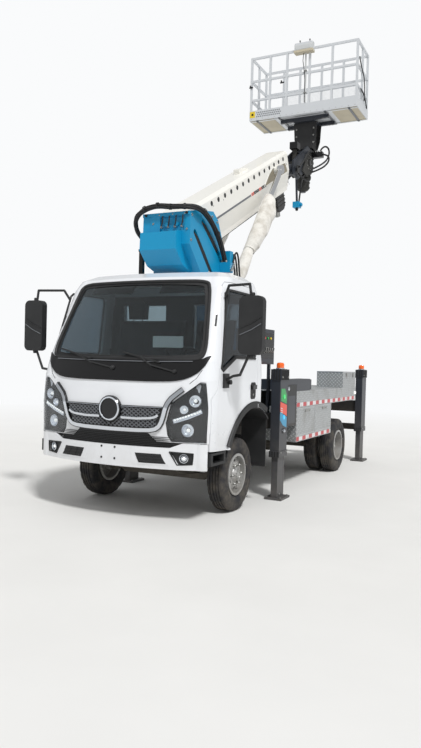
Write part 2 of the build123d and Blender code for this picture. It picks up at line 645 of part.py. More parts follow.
# Wheel-arch liners with steps under the doors
LINER_OUT = CAB_HALF - 8
LINER_IN = CAB_HALF - 330
liner_out = cross_bar(LINER_IN, LINER_OUT, ARCH_Y, ARCH_Z, ARCH_R - PAD_GAP)
liner_in = cross_bar(LINER_IN - 1, LINER_OUT + 1, ARCH_Y, ARCH_Z, ARCH_R - 14)
liner_keep = side_prism(LINER_IN - 10, CAB_HALF, [(-700, 640), (-700, 1200), (ARCH_Y + 420, 1200),
                                                  (ARCH_Y + 420, 900), (ARCH_Y, 900), (-300, 640)])
liner = (liner_out - liner_in) & liner_keep
flap = box(LINER_IN, CAB_HALF - 30, 520, 530, 420, 960)
step_out = CAB_HALF - 15
step_in = CAB_HALF - 270
step = box(step_in, step_out, -878, -560, 590, 712) - box(step_in + 40, step_out + 1, -840, -600, 616, 690)
step += box(RAIL_IN + RAIL_W, step_in + 10, -800, -740, 640, 700)
flap += box(RAIL_IN + RAIL_W, LINER_IN + 10, 500, 530, 700, 760)
guard = parts_of(liner + flap, step)
guards = both(guard)

# Deck: floor plate, side skirts, tail boxes
deck = box(-DECK_HALF, DECK_HALF, DECK_FRONT, DECK_REAR, DECK_Z - DECK_T, DECK_Z)
for side in (1, -1):
    deck += box(side * BOX_IN, side * DECK_HALF, BOX_FRONT, BOX_REAR, DECK_Z, BOX_TOP)
skirt = box(DECK_HALF - SKIRT_T, DECK_HALF, DECK_FRONT, DECK_REAR, SKIRT_Z, deck_under - PAD_GAP)
TURRET_WELL_R = SLEW_RING_R + 12
deck -= post(0, SLEW_Y, DECK_Z - 60, DECK_Z + 20, TURRET_WELL_R)
deck += box(480, 930, 1560, 2300, DECK_Z, 1372)
locker = box(LOCKER_IN, DECK_HALF, LOCKER_FRONT, LOCKER_REAR, LOCKER_LOW, LOCKER_TOP)
lockers = both(locker)
cabinet = box(600, 905, 520, 950, 1570, 1975)
for x in (620, 860):
    cabinet += box(x, x + 30, LEG_FRONT_Y - 40, LEG_FRONT_Y, BEAM_Z + BEAM_H + BEAM_GAP + BEAM_WALL, 1570)

# Slewing base
base = box(-SUB_IN - SUB_W, SUB_IN + SUB_W, SLEW_Y - 330, SLEW_Y + 330, SUB_TOP, SUB_TOP + 40)
base += post(0, SLEW_Y, SUB_TOP + 40, SLEW_Z, SLEW_RING_R - 30)
base += post(0, SLEW_Y, SLEW_Z - 60, SLEW_Z, SLEW_RING_R)
base += post(0, SLEW_Y, SLEW_Z, SLEW_Z + 60, 90)

# Turret: slewing table, lower tower and two cheeks that lean forward over the cab
table_z = SLEW_Z + SLEW_GAP
turret = post(0, SLEW_Y, table_z, table_z + 70, SLEW_RING_R)
tower = side_prism(-CHEEK_OUT, CHEEK_OUT, [(950, table_z + 60), (1480, table_z + 60), (1380, 1900),
                                           (1080, 2150), (1060, 2330), (640, 2330), (740, 2000)])
cheek_edge = [(640, 2000), (980, 2150), (905, 2600), (740, 2985), (590, 3240), (460, 3320), (60, 3255),
              (-90, 3215), (-100, 2860), (190, 2570), (420, 2560), (640, 2300)]
cheek = side_prism(CHEEK_IN, CHEEK_OUT, cheek_edge)
turret += tower + cheek + mirrored(cheek)
turret -= post(0, SLEW_Y, table_z - 1, table_z + 61, 90 + RUN_GAP)
TAIL_R = BOOM_H / 2 + 24
nose = side_prism(-CHEEK_IN, CHEEK_IN, [(-100, 3215), (-60, 3215), (-60, 2900), (330, 2690), (640, 2600),
                                        (760, 2330), (640, 2300), (420, 2560), (190, 2570), (-100, 2860)])
bulge = side_prism(-CHEEK_OUT + 40, CHEEK_IN, [(-100, 3010), (-215, 2985), (-225, 2790), (-60, 2640),
                                               (150, 2580), (190, 2570), (-60, 2860)])
turret += nose + bulge
turret -= cross_bar(-CHEEK_IN, CHEEK_IN, PIVOT_Y, PIVOT_Z, TAIL_R)
turret += cross_bar(-CHEEK_IN - 40, CHEEK_IN + 40, PIVOT_Y, PIVOT_Z, PIVOT_R)
SLOTS = (
    # y and z of the upper end of the middle line, then of the lower end
    (20, 3004, 464, 2588),
    (204, 3150, 634, 2845),
)
SLOT_W = 64
SLOT_FLOOR = CHEEK_OUT - 44
for y0, z0, y1, z1 in SLOTS:
    slot = SlotCenterToCenter(hypot(y1 - y0, z1 - z0), SLOT_W, rotation=degrees(atan2(z1 - z0, y1 - y0)))
    slot = extrude(Plane.YZ.offset(SLOT_FLOOR) * Pos((y0 + y1) / 2, (z0 + z1) / 2) * slot, amount=60)
    turret = turret - slot - mirrored(slot)
turret -= box(-76, 226, -101, -74, 3010, 3168)
for x in (0, 130):
    turret += lengthwise(x, -96, -70, 3085, 24)

# Boom frame of reference: u along the boom, w square to it, both from the pivot
BOOM_DIR = (0, cos(radians(BOOM_RISE)), sin(radians(BOOM_RISE)))
BOOM_UP = (0, -sin(radians(BOOM_RISE)), cos(radians(BOOM_RISE)))


def on_boom(x, u, w):
    return (x, PIVOT_Y + u * BOOM_DIR[1] + w * BOOM_UP[1], PIVOT_Z + u * BOOM_DIR[2] + w * BOOM_UP[2])


def boom_side(x0, x1, points):
    """Solid between two x values with an outline of (u, w) points on the boom."""
    plane = Plane(origin=on_boom(x0, 0, 0), x_dir=BOOM_DIR, z_dir=(1, 0, 0))
    return extrude(plane * make_face(Polyline(*points, close=True)), amount=x1 - x0)


def boom_tube(u0, u1, half, height, shrink):
    """Boom section: upright upper sides, lower sides drawn in to a narrower bottom."""
    h = height / 2
    right = [(0.62 * half, -h), (0.66 * half, -0.78 * h), (half, -0.05 * h), (half, 0.84 * h),
             (0.86 * half, h)]
    outline = right + [(-x, w) for x, w in reversed(right)]
    plane = Plane(origin=on_boom(0, u0, 0), x_dir=(-1, 0, 0), z_dir=BOOM_DIR)
    face = make_face(Polyline(*outline, close=True))
    if shrink:
        face = offset(face, amount=-shrink, kind=Kind.INTERSECTION)
    return extrude(plane * face, amount=u1 - u0)


boom_half_h = BOOM_H / 2
boom_base = boom_tube(0, BOOM_LEN, BOOM_HALF, BOOM_H, 0)
boom_base += cross_bar(-BOOM_HALF, BOOM_HALF, PIVOT_Y, PIVOT_Z, boom_half_h)
boom_base -= boom_tube(420, BOOM_LEN + 1, BOOM_HALF, BOOM_H, BOOM_WALL)
boom_base -= cross_bar(-BOOM_HALF - 1, BOOM_HALF + 1, PIVOT_Y, PIVOT_Z, PIVOT_R + RUN_GAP)
INNER_TAIL = 620
inner_half = BOOM_HALF - BOOM_STEP
inner_h = BOOM_H - 2 * BOOM_STEP
tip_half = inner_half - BOOM_STEP
tip_h = inner_h - 2 * BOOM_STEP
inner_end = BOOM_LEN + INNER_SHOW
tip_end = BOOM_LEN + TIP_SHOW
boom_inner = boom_tube(INNER_TAIL, inner_end, inner_half, inner_h, 0)
boom_inner -= boom_tube(INNER_TAIL - 1, inner_end + 1, inner_half, inner_h, BOOM_WALL)
boom_tip = boom_tube(INNER_TAIL + 100, tip_end, tip_half, tip_h, 0)
boom_tip -= boom_tube(INNER_TAIL + 99, tip_end + 1, tip_half, tip_h, BOOM_WALL)


def slide_pads(u0, u1, half, height, outward):
    """Wear pads that fill the running gap above and below a section."""
    h = height / 2
    gap = BOOM_STEP - BOOM_WALL
    pads = []
    for sign in (1, -1):
        near = sign * (h if outward else h + gap)
        far = sign * (h + gap - PAD_GAP if outward else h + PAD_GAP)
        low = min(near, far)
        high = max(near, far)
        wide = 0.5 * half
        pads.append(boom_side(-wide, wide, [(u0, low), (u1, low), (u1, high), (u0, high)]))
    return pads


boom_base += slide_pads(BOOM_LEN - 160, BOOM_LEN - 10, inner_half, inner_h, False)
boom_inner += slide_pads(INNER_TAIL + 20, INNER_TAIL + 170, inner_half, inner_h, True)
boom_inner += slide_pads(inner_end - 160, inner_end - 10, tip_half, tip_h, False)
boom_tip += slide_pads(INNER_TAIL + 120, INNER_TAIL + 270, tip_half, tip_h, True)
for k in range(HOLES):
    u = HOLE_START + k * HOLE_PITCH
    x0, y, z = on_boom(-BOOM_HALF - 1, u, 0.68 * boom_half_h)
    boom_base -= cross_bar(x0, -x0, y, z, HOLE_R)
boom_base += boom_side(-40, 40, [(1740, 285), (1740, 350), (1800, 354), (2050, 312), (2050, 285)])
POCKET_DEEP = 7
pocket = boom_side(BOOM_HALF - POCKET_DEEP, BOOM_HALF + 1, [(BOOM_LEN - 1060, -12), (BOOM_LEN - 810, 110),
                                                            (BOOM_LEN - 650, 160), (BOOM_LEN - 100, 128),
                                                            (BOOM_LEN - 40, -12)])
boom_base = boom_base - pocket - mirrored(pocket)

# Rod eye seats beside the boom
ram_dir = (RAM_EYE_Y - RAM_FOOT_Y, RAM_EYE_Z - RAM_FOOT_Z)
ram_len = hypot(*ram_dir)
RAM_DIR = (0, ram_dir[0] / ram_len, ram_dir[1] / ram_len)


def on_ram(x, s):
    return (x, RAM_FOOT_Y + s * RAM_DIR[1], RAM_FOOT_Z + s * RAM_DIR[2])


RAM_SIDE_GAP = 6
boss_out = RAM_X - RAM_EYE_W / 2 - RAM_SIDE_GAP
boss = cross_bar(BOOM_HALF - 20, boss_out, RAM_EYE_Y, RAM_EYE_Z, RAM_EYE_R)
boom_base += boss + mirrored(boss)

# Lift cylinders: barrels hinge on a shaft through the turret, rods slide in them
FOOT_SHAFT_R = 34
barrel_plane = Plane(origin=on_ram(RAM_X, 0), z_dir=RAM_DIR)
barrel = barrel_plane * Cylinder(BARREL_R, BARREL_LEN, align=FROM_BASE)
barrel += cross_bar(RAM_X - BARREL_R, RAM_X + BARREL_R, RAM_FOOT_Y, RAM_FOOT_Z, 70)
barrel -= link(on_ram(RAM_X, 200), on_ram(RAM_X, 200 + BARREL_LEN), ROD_R + RUN_GAP)
foot_bore = FOOT_SHAFT_R + RUN_GAP
barrel -= cross_bar(RAM_X - BARREL_R - 1, RAM_X + BARREL_R + 1, RAM_FOOT_Y, RAM_FOOT_Z, foot_bore)
rod = Plane(origin=on_ram(RAM_X, ROD_IN), z_dir=RAM_DIR) * Cylinder(ROD_R, ram_len - ROD_IN, align=FROM_BASE)
rod += cross_bar(RAM_X - RAM_EYE_W / 2, RAM_X + RAM_EYE_W / 2, RAM_EYE_Y, RAM_EYE_Z, RAM_EYE_R)
rods = both(rod)
barrels = both(barrel)
RAM_WELL_IN = RAM_X - BARREL_R - SLEW_GAP
ram_well = box(RAM_WELL_IN, CHEEK_OUT + 60, RAM_FOOT_Y - 110, RAM_FOOT_Y + 700, RAM_FOOT_Z - 130, 2950)
turret = turret - ram_well - mirrored(ram_well)
turret += cross_bar(-RAM_X - 60, RAM_X + 60, RAM_FOOT_Y, RAM_FOOT_Z, FOOT_SHAFT_R)

SLEEVE = (
    # distance up the cylinder, outer radius; the side by the boom stays at one plane
    (560, 74),
    (900, 80),
    (1250, 84),
    (1500, 112),
    (1900, 126),
    (2150, 98),
    (2260, 64),
)
SLEEVE_T = 6
SLEEVE_SIDES = 16
SLEEVE_SIDE = 176


def sleeve_body(wall, grow):
    """Stack of rings along the cylinder, bulging away from the boom."""
    rings = []
    for s, r in SLEEVE:
        end = grow if s == SLEEVE[-1][0] else (-grow if s == SLEEVE[0][0] else 0)
        square_on = Plane(origin=on_ram(SLEEVE_SIDE + r, s + end), z_dir=RAM_DIR)
        rings.append(square_on * RegularPolygon(r - wall, SLEEVE_SIDES))
    return loft(rings, ruled=True)


sleeve_skin = sleeve_body(0, 0) - sleeve_body(SLEEVE_T, 1)
sleeve_collar = link(on_ram(RAM_X, SLEEVE[0][0]), on_ram(RAM_X, SLEEVE[0][0] + 40), 70)
sleeve_skin += sleeve_collar - link(on_ram(RAM_X, 500), on_ram(RAM_X, 700), BARREL_R)
sleeves = both(sleeve_skin)

# Head: levelling pivot on the boom tip, arm, swing drive and hanging capsule
head_lug = cross_bar(-70, 70, HEAD_Y, HEAD_Z, 90)
boom_head = boom_side(-70, 70, [(tip_end - 40, -150), (tip_end - 40, 130), (tip_end + 60, 60),
                                (tip_end + 60, -60)])
LEVEL_PIN_R = 28
boom_tip_plate = link(on_boom(0, tip_end - 60, 0), (0, HEAD_Y, HEAD_Z), 60)
boom_tip += boom_head + boom_tip_plate + head_lug
boom_tip -= cross_bar(-71, 71, HEAD_Y, HEAD_Z, LEVEL_PIN_R + RUN_GAP)
arm = side_prism(75, 105, [(HEAD_Y - 110, HEAD_Z - 110), (HEAD_Y + 110, HEAD_Z - 140), (COLUMN_Y - 80, 4960),
                           (COLUMN_Y - 80, 5200), (COLUMN_Y - 260, 5230), (HEAD_Y - 110, HEAD_Z + 110)])
head = arm + mirrored(arm)
head += cross_bar(-130, 130, HEAD_Y, HEAD_Z, LEVEL_PIN_R)
head += post(0, COLUMN_Y, 4880, COLUMN_LOW - SLEW_GAP, 112)
SWING_R = 45
SWING_DEEP = 190
motor_y = COLUMN_Y - 150
head += post(0, motor_y, 4520, 4880, 70) + post(0, motor_y, 4490, 4520, 46)
head += cross_bar(-105, 105, HEAD_Y + 305, 4720, 30)
head += link((0, HEAD_Y + 305, 4720), (0, HEAD_Y + 380, 4230), 18)
head += box(-52, 52, HEAD_Y + 330, HEAD_Y + 430, 4175, 4262)
head += box(-105, 105, COLUMN_Y - 260, COLUMN_Y - 60, 4850, 5150)
head -= post(0, COLUMN_Y, COLUMN_LOW - SWING_DEEP, COLUMN_LOW, SWING_R + RUN_GAP)
column = Pos(0, COLUMN_Y, COLUMN_LOW) * Cone(85, 120, BASKET_Z - COLUMN_LOW - 60, align=FROM_BASE)
column += post(0, COLUMN_Y, COLUMN_LOW - SWING_DEEP + SLEW_GAP, COLUMN_LOW, SWING_R)
column += box(-420, 420, COLUMN_Y - 200, COLUMN_Y - 150, BASKET_Z - 60, BASKET_Z)
column += box(-420, 420, COLUMN_Y + 150, COLUMN_Y + 200, BASKET_Z - 60, BASKET_Z)
column += box(-180, 180, COLUMN_Y - 200, COLUMN_Y + 200, BASKET_Z - 75, BASKET_Z - 50)

# Basket: floor pan, kick plates and a cage of square tube
bx = BASKET_LEN / 2
by = BASKET_WID / 2
t = BASKET_TUBE
basket_top = BASKET_Z + BASKET_H
basket = box(-bx, bx, COLUMN_Y - by, COLUMN_Y + by, BASKET_Z, BASKET_Z + FLOOR_T)
kick_outer = box(-bx, bx, COLUMN_Y - by, COLUMN_Y + by, BASKET_Z, BASKET_Z + KICK_H)
kick_inner = box(-bx + KICK_T, bx - KICK_T, COLUMN_Y - by + KICK_T, COLUMN_Y + by - KICK_T,
                 BASKET_Z + FLOOR_T, BASKET_Z + KICK_H + 1)
basket += kick_outer - kick_inner
cage_x = bx - KICK_T
cage_y = by - KICK_T


def upright(x, y):
    """Square post whose outer faces lie inside the kick plates."""
    return box(x - t, x + t, y - t, y + t, BASKET_Z + FLOOR_T, basket_top)


for share in POSTS_X:
    for sign in (-1, 1):
        basket += upright(share * (cage_x - t), COLUMN_Y + sign * (cage_y - t))
for sign in (-1, 1):
    basket += upright(sign * (cage_x - t), COLUMN_Y)
for share in RAIL_LEVELS:
    z = BASKET_Z + BASKET_H * share
    hoop = box(-cage_x, cage_x, COLUMN_Y - cage_y, COLUMN_Y + cage_y, z - 2 * t, z)
    hoop -= box(-cage_x + 2 * t, cage_x - 2 * t, COLUMN_Y - cage_y + 2 * t, COLUMN_Y + cage_y - 2 * t,
                z - 2 * t - 1, z + 1)
    basket += hoop
basket += box(CONTROL_LOW_X, CONTROL_HIGH_X, COLUMN_Y - cage_y - 70, COLUMN_Y - cage_y + 2 * t,
              basket_top - 60, basket_top + 70)


def outrigger(y, side):
    """Sliding beam with its upright tube, and the stem with its foot."""
    inner_x = LEG_OUT_X - LEG_W
    tube = box(inner_x, LEG_OUT_X, y - LEG_D / 2, y + LEG_D / 2, LEG_LOW, LEG_TOP)
    for low, high in ((COLLAR_LOW, COLLAR_LOW + 70), (LEG_TOP - 110, LEG_TOP + 20)):
        tube += box(inner_x - LIP, LEG_OUT_X + LIP, y - LEG_D / 2 - LIP, y + LEG_D / 2 + LIP, low, high)
    tube -= box(inner_x + LEG_WALL, LEG_OUT_X - LEG_WALL, y - LEG_D / 2 + LEG_WALL, y + LEG_D / 2 - LEG_WALL,
                COLLAR_LOW - 1, LEG_TOP - 20)
    arm_end = CROSS_IN
    tube += box(arm_end, inner_x + 1, y - BEAM_D / 2, y + BEAM_D / 2, BEAM_Z, BEAM_Z + BEAM_H)
    pad_h = BEAM_GAP - PAD_GAP
    for z in (BEAM_Z - pad_h, BEAM_Z + BEAM_H):
        tube += box(arm_end, arm_end + 120, y - BEAM_D / 2 + 10, y + BEAM_D / 2 - 10, z, z + pad_h)
    in_w = LEG_W - 2 * LEG_WALL - 2 * STEM_GAP
    in_d = LEG_D - 2 * LEG_WALL - 2 * STEM_GAP
    mid_x = LEG_OUT_X - LEG_W / 2
    stem = box(mid_x - in_w / 2, mid_x + in_w / 2, y - in_d / 2, y + in_d / 2, FOOT_T, STEM_TOP)
    stem -= box(mid_x - in_w / 2 + LEG_WALL, mid_x + in_w / 2 - LEG_WALL, y - in_d / 2 + LEG_WALL,
                y + in_d / 2 - LEG_WALL, FOOT_T + LEG_WALL, STEM_TOP - LEG_WALL)
    half_w = in_w / 2 + STEM_GAP - PAD_GAP
    half_d = in_d / 2 + STEM_GAP - PAD_GAP
    pad_ring = box(mid_x - half_w, mid_x + half_w, y - half_d, y + half_d, STEM_TOP - 120, STEM_TOP - 20)
    stem += pad_ring - box(mid_x - in_w / 2, mid_x + in_w / 2, y - in_d / 2, y + in_d / 2, STEM_TOP - 121,
                           STEM_TOP - 19)
    stem += box(mid_x - FOOT_W / 2, mid_x + FOOT_W / 2, y - FOOT_D / 2, y + FOOT_D / 2, 0, FOOT_T)
    if side < 0:
        return mirrored(tube), mirrored(stem)
    return tube, stem


# Hose bundle from the right of the turret over its top and down its left side
HOSE_R = 32
HOSE_ROUTE = (
    (-CHEEK_OUT, 60, 2960),
    (-410, 60, 2960),
    (-485, 0, 3090),
    (-420, -100, 3235),
    (-220, -150, 3290),
    (60, -155, 3295),
    (290, -125, 3305),
    (372, 20, 3350),
    (372, 220, 3375),
    (372, 420, 3330),
    (372, 600, 3180),
    (372, 745, 3040),
    (372, 745, 2900),
)
manifold = box(CHEEK_OUT, 412, 700, 790, 2760, 2900)


def corner_radii(points):
    """Radius at each corner: 0.45 of the shorter run over the tangent of half the turn."""
    radii = []
    for a, b, c in zip(points, points[1:], points[2:]):
        first = Vector(*b) - Vector(*a)
        second = Vector(*c) - Vector(*b)
        turn = radians(first.get_angle(second))
        radii.append(0.45 * min(first.length, second.length) / tan(turn / 2))
    return radii


hose_path = FilletPolyline(*HOSE_ROUTE, radius=corner_radii(HOSE_ROUTE))
hoses = sweep(Plane(origin=hose_path @ 0, z_dir=hose_path % 0) * RegularPolygon(HOSE_R, 8), path=hose_path)

# Mirrors hang on the doors
MIRROR_X = 1312
MIRROR_Z = 1934
mirror_face = Plane.XZ.offset(640) * Pos(MIRROR_X, MIRROR_Z) * RectangleRounded(246, 558, 60)
mirror_solid = extrude(mirror_face, amount=80)
MIRROR_RUNS = (
    # each arm from the door to the head
    ((1030, -650, 1400), (1120, -660, 1449), (1201, -680, 1462), (1300, -680, 1680)),
    ((960, -540, 2240), (1010, -570, 2330), (1279, -680, 2325), (1300, -680, 2190)),
)
MIRROR_ARM_R = 13
for run in MIRROR_RUNS:
    for start, end in zip(run, run[1:]):
        mirror_solid += link(start, end, MIRROR_ARM_R) + Pos(*start) * Sphere(MIRROR_ARM_R)
mirror_solid += box(1000, 1050, -700, -590, 1330, 1470)
mirror_solid -= cab_skin

save("front_rim_left", front_rim)
save("front_rim_right", mirrored(front_rim))
save("front_tyre_left", front_tyre)
save("front_tyre_right", mirrored(front_tyre))
save("rear_rims_left", rear_rim)
save("rear_rims_right", mirrored(rear_rim))
save("rear_tyres_left", rear_tyres)
save("rear_tyres_right", mirrored(rear_tyres))
save("knuckle_left", knuckle)
save("knuckle_right", mirrored(knuckle))
save("axles", axles)
save("chassis_frame", chassis)
save("subframe", subframe)
save("engine_block", engine)
save("cab_shell", cab_shell)
save("cab_glass", cab_glass)
save("grille", parts_of(grille, cowl))
save("lamps", lamps)
save("bumper", bumper)
save("dashboard", dash)
save("seats", seats)
save("wheel_arches", guards)
save("deck", parts_of(deck, both(skirt)))
save("side_lockers", lockers)
save("control_cabinet", cabinet)
save("slew_base", base)
save("door_left", door)
save("door_right", mirrored(door))
save("door_glass_left", door_glass)
save("door_glass_right", mirrored(door_glass))
save("mirror_left", mirror_solid)
save("mirror_right", mirrored(mirror_solid))
CORNERS = (
    # name, y, side
    ("front_left", LEG_FRONT_Y, 1),
    ("front_right", LEG_FRONT_Y, -1),
    ("rear_left", LEG_REAR_Y, 1),
    ("rear_right", LEG_REAR_Y, -1),
)
for name, y, side in CORNERS:
    tube, stem = outrigger(y, side)
    save("outrigger_beam_" + name, tube)
    save("outrigger_leg_" + name, stem)
save("turret", turret + manifold)
save("boom_base", boom_base)
save("boom_inner", boom_inner)
save("boom_tip", boom_tip)
save("lift_barrels", barrels)
save("lift_rods", rods)
save("cylinder_sleeves", sleeves)
save("turret_hoses", hoses)
save("levelling_head", head)
save("basket_column", column)
save("basket", basket)
print("origin shift", MID_Y)
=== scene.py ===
from math import acos, ceil, cos, hypot, pi, radians, sin, sqrt

import bmesh
import bpy
from mathutils import Matrix, Vector


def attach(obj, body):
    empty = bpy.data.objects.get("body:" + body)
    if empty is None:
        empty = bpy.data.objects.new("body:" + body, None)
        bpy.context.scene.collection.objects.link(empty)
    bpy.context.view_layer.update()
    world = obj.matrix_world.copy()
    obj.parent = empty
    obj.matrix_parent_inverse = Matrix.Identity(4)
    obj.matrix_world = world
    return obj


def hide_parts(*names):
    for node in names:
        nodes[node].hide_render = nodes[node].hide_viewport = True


# Cherry picker truck. Points are written from the middle of the front axle on the ground, in
# metres, +X the truck's left, +Y its rear, and here() moves them into the frame.
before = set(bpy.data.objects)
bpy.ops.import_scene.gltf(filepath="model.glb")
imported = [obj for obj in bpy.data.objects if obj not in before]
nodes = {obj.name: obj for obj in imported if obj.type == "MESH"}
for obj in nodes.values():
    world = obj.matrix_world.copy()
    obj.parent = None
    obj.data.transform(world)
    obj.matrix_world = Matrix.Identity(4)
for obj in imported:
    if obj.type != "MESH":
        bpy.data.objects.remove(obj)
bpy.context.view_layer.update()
AXLE_SHIFT = 1.9025


def here(x, y, z):
    return Vector((x, y - AXLE_SHIFT, z))


# Colours and finishes
def ink(hex_text, alpha=1.0):
    """An sRGB hex value as the linear colour that a socket takes."""
    channels = [int(hex_text[i:i + 2], 16) / 255 for i in (0, 2, 4)]
    return [c / 12.92 if c <= 0.04045 else ((c + 0.055) / 1.055) ** 2.4 for c in channels] + [alpha]


def per_mm(size):
    """Texture scale at which a pattern repeats about every `size` millimetres."""
    return 1000.0 / size


def add(tree, kind, sockets=None, **settings):
    """One node, with its settings made and its sockets filled or linked."""
    made = tree.nodes.new(kind)
    for name, value in settings.items():
        setattr(made, name, value)
    for name, value in (sockets or {}).items():
        if isinstance(value, bpy.types.NodeSocket):
            tree.links.new(value, made.inputs[name])
        else:
            made.inputs[name].default_value = value
    return made


def finish(name):
    """An empty material and its node tree."""
    material = bpy.data.materials.new(name)
    material.use_nodes = True
    material.node_tree.nodes.clear()
    return material, material.node_tree


def place(tree):
    return add(tree, "ShaderNodeTexCoord").outputs["Object"]


def blur_between(tree, amount, low, high):
    """A factor remapped to run from 0 at low to 1 at high."""
    return add(tree, "ShaderNodeMapRange", {"Value": amount, "From Min": low,
                                            "From Max": high}).outputs["Result"]


def spread(tree, amount, low, high):
    """A factor remapped to run from low to high."""
    return add(tree, "ShaderNodeMapRange", {"Value": amount, "To Min": low, "To Max": high}).outputs["Result"]


def two_tone(tree, amount, first, second):
    return add(tree, "ShaderNodeMix", {0: amount, 6: first, 7: second}, data_type="RGBA").outputs[2]


def noise(tree, spot, size, detail, roughness=0.5):
    """Cloudy pattern whose patches are about `size` millimetres across."""
    return add(tree, "ShaderNodeTexNoise", {"Vector": spot, "Scale": per_mm(size), "Detail": detail,
                                            "Roughness": roughness}).outputs["Fac"]


def relief(tree, height, strength, depth):
    """Bumps drawn in the shading of a surface."""
    return add(tree, "ShaderNodeBump", {"Height": height, "Strength": strength,
                                        "Distance": depth}).outputs["Normal"]


def close_up(tree, sockets):
    """The surface, joined to the material's output."""
    shader = add(tree, "ShaderNodeBsdfPrincipled", sockets)
    add(tree, "ShaderNodeOutputMaterial", {"Surface": shader.outputs["BSDF"]})


ROAD_DUST = ink("8E8578")


def sprayed(name, hex_text, roughness, coat, dust=0.5, peel_mm=3.0, peel=0.02, metallic=0.0):
    """Sprayed paint: slight orange peel, faint patchiness, and road dust that thickens towards the ground."""
    material, tree = finish(name)
    spot = place(tree)
    patches = noise(tree, spot, 420, 3.0)
    grain = noise(tree, spot, peel_mm, 2.0)
    height = add(tree, "ShaderNodeSeparateXYZ", {0: spot}).outputs["Z"]
    low_down = blur_between(tree, height, 1.1, 0.1)
    streaks = noise(tree, spot, 90, 5.0, 0.7)
    ragged = add(tree, "ShaderNodeMath", {0: low_down, 1: streaks}, operation="MULTIPLY")
    film = add(tree, "ShaderNodeMath", {0: ragged.outputs[0], 1: dust}, operation="MULTIPLY", use_clamp=True)
    shade = [c * 0.93 for c in ink(hex_text)[:3]] + [1.0]
    paint = two_tone(tree, patches, shade, ink(hex_text))
    colour = two_tone(tree, film.outputs[0], paint, ROAD_DUST)
    dulled = spread(tree, film.outputs[0], roughness, 0.8)
    bump = relief(tree, grain, peel, 0.002)
    close_up(tree, {
        "Base Color": colour, "Roughness": dulled, "Metallic": metallic,
        "Coat Weight": coat, "Coat Roughness": 0.08, "Normal": bump})
    return material


def moulded(name, hex_text, roughness=0.55, grain_mm=2.0, grain=0.15):
    """Moulded plastic or rubber: fine pitted grain, with a greyer bloom where dust settles."""
    material, tree = finish(name)
    spot = place(tree)
    pits = add(tree, "ShaderNodeTexVoronoi", {"Vector": spot, "Scale": per_mm(grain_mm)})
    bloom = noise(tree, spot, 160, 4.0)
    grey = [c * 0.75 + 0.02 for c in ink(hex_text)[:3]] + [1.0]
    colour = two_tone(tree, bloom, ink(hex_text), grey)
    rough = spread(tree, bloom, roughness - 0.08, roughness + 0.1)
    bump = relief(tree, pits.outputs["Distance"], grain, 0.001)
    close_up(tree, {
        "Base Color": colour, "Roughness": rough, "Normal": bump})
    return material


def bare_metal(name, hex_text, roughness, scratch_mm=6.0, along=(1, 1, 12)):
    """Uncoated metal: fine drawn or brushed lines and uneven polish."""
    material, tree = finish(name)
    spot = add(tree, "ShaderNodeMapping", {"Vector": place(tree), "Scale": along})
    lines = noise(tree, spot.outputs[0], scratch_mm, 4.0)
    rough = spread(tree, lines, roughness - 0.07, roughness + 0.12)
    bump = relief(tree, lines, 0.05, 0.001)
    close_up(tree, {
        "Base Color": ink(hex_text), "Metallic": 1.0, "Roughness": rough,
        "Normal": bump})
    return material


# Real bars repeat about every 30 mm; drawn at 55 mm so that they show in the picture
PLATE_CELL = per_mm(55)
BAR_REACH = (0.47, 0.17)


def tread_plate():
    """Aluminium chequer plate: raised bars that change direction from cell to cell."""
    material, tree = finish("aluminium tread plate")

    def maths(operation, *values):
        return add(tree, "ShaderNodeMath", dict(enumerate(values)), operation=operation).outputs[0]

    def pick(share, first, second):
        return add(tree, "ShaderNodeMix", {0: share, 2: first, 3: second}, data_type="FLOAT").outputs[0]

    spot = add(tree, "ShaderNodeSeparateXYZ", {0: place(tree)}).outputs
    normal = add(tree, "ShaderNodeTexCoord").outputs["Normal"]
    facing_y = add(tree, "ShaderNodeSeparateXYZ", {0: normal}).outputs["Y"]
    endways = maths("GREATER_THAN", maths("ABSOLUTE", facing_y), 0.7)
    flat = pick(endways, maths("ADD", spot["X"], spot["Z"]), spot["X"])
    lengthways = pick(endways, spot["Y"], spot["Z"])
    diagonals = [maths("ADD", flat, maths("MULTIPLY", lengthways, sign)) for sign in (1.0, -1.0)]
    across = [maths("MULTIPLY", diagonal, PLATE_CELL) for diagonal in diagonals]
    odd = maths("FLOORED_MODULO", maths("ADD", *[maths("FLOOR", value) for value in across]), 2.0)
    inside = [maths("SUBTRACT", maths("FRACT", value), 0.5) for value in across]
    bars = []
    for reaches in (BAR_REACH, BAR_REACH[::-1]):
        parts = [maths("POWER", maths("DIVIDE", value, reach), 2.0) for value, reach in zip(inside, reaches)]
        bars.append(blur_between(tree, maths("ADD", *parts), 1.15, 0.7))
    raised = pick(odd, *bars)
    soiling = noise(tree, place(tree), 260, 5.0)
    metal = two_tone(tree, raised, ink("A4A7A8"), ink("D5D7D7"))
    colour = two_tone(tree, blur_between(tree, soiling, 0.5, 0.85), metal, ink("8C8B86"))
    bump = relief(tree, raised, 0.6, 0.002)
    close_up(tree, {"Base Color": colour, "Metallic": 0.55, "Roughness": 0.42, "Normal": bump})
    return material


def glazing(name, hex_text, roughness=0.02):
    """Glass: nearly smooth, with the faint tint of its body colour."""
    material, tree = finish(name)
    film = noise(tree, place(tree), 350, 3.0)
    rough = spread(tree, film, roughness, roughness + 0.05)
    close_up(tree, {
        "Base Color": ink(hex_text), "Roughness": rough, "IOR": 1.45,
        "Transmission Weight": 1.0})
    return material


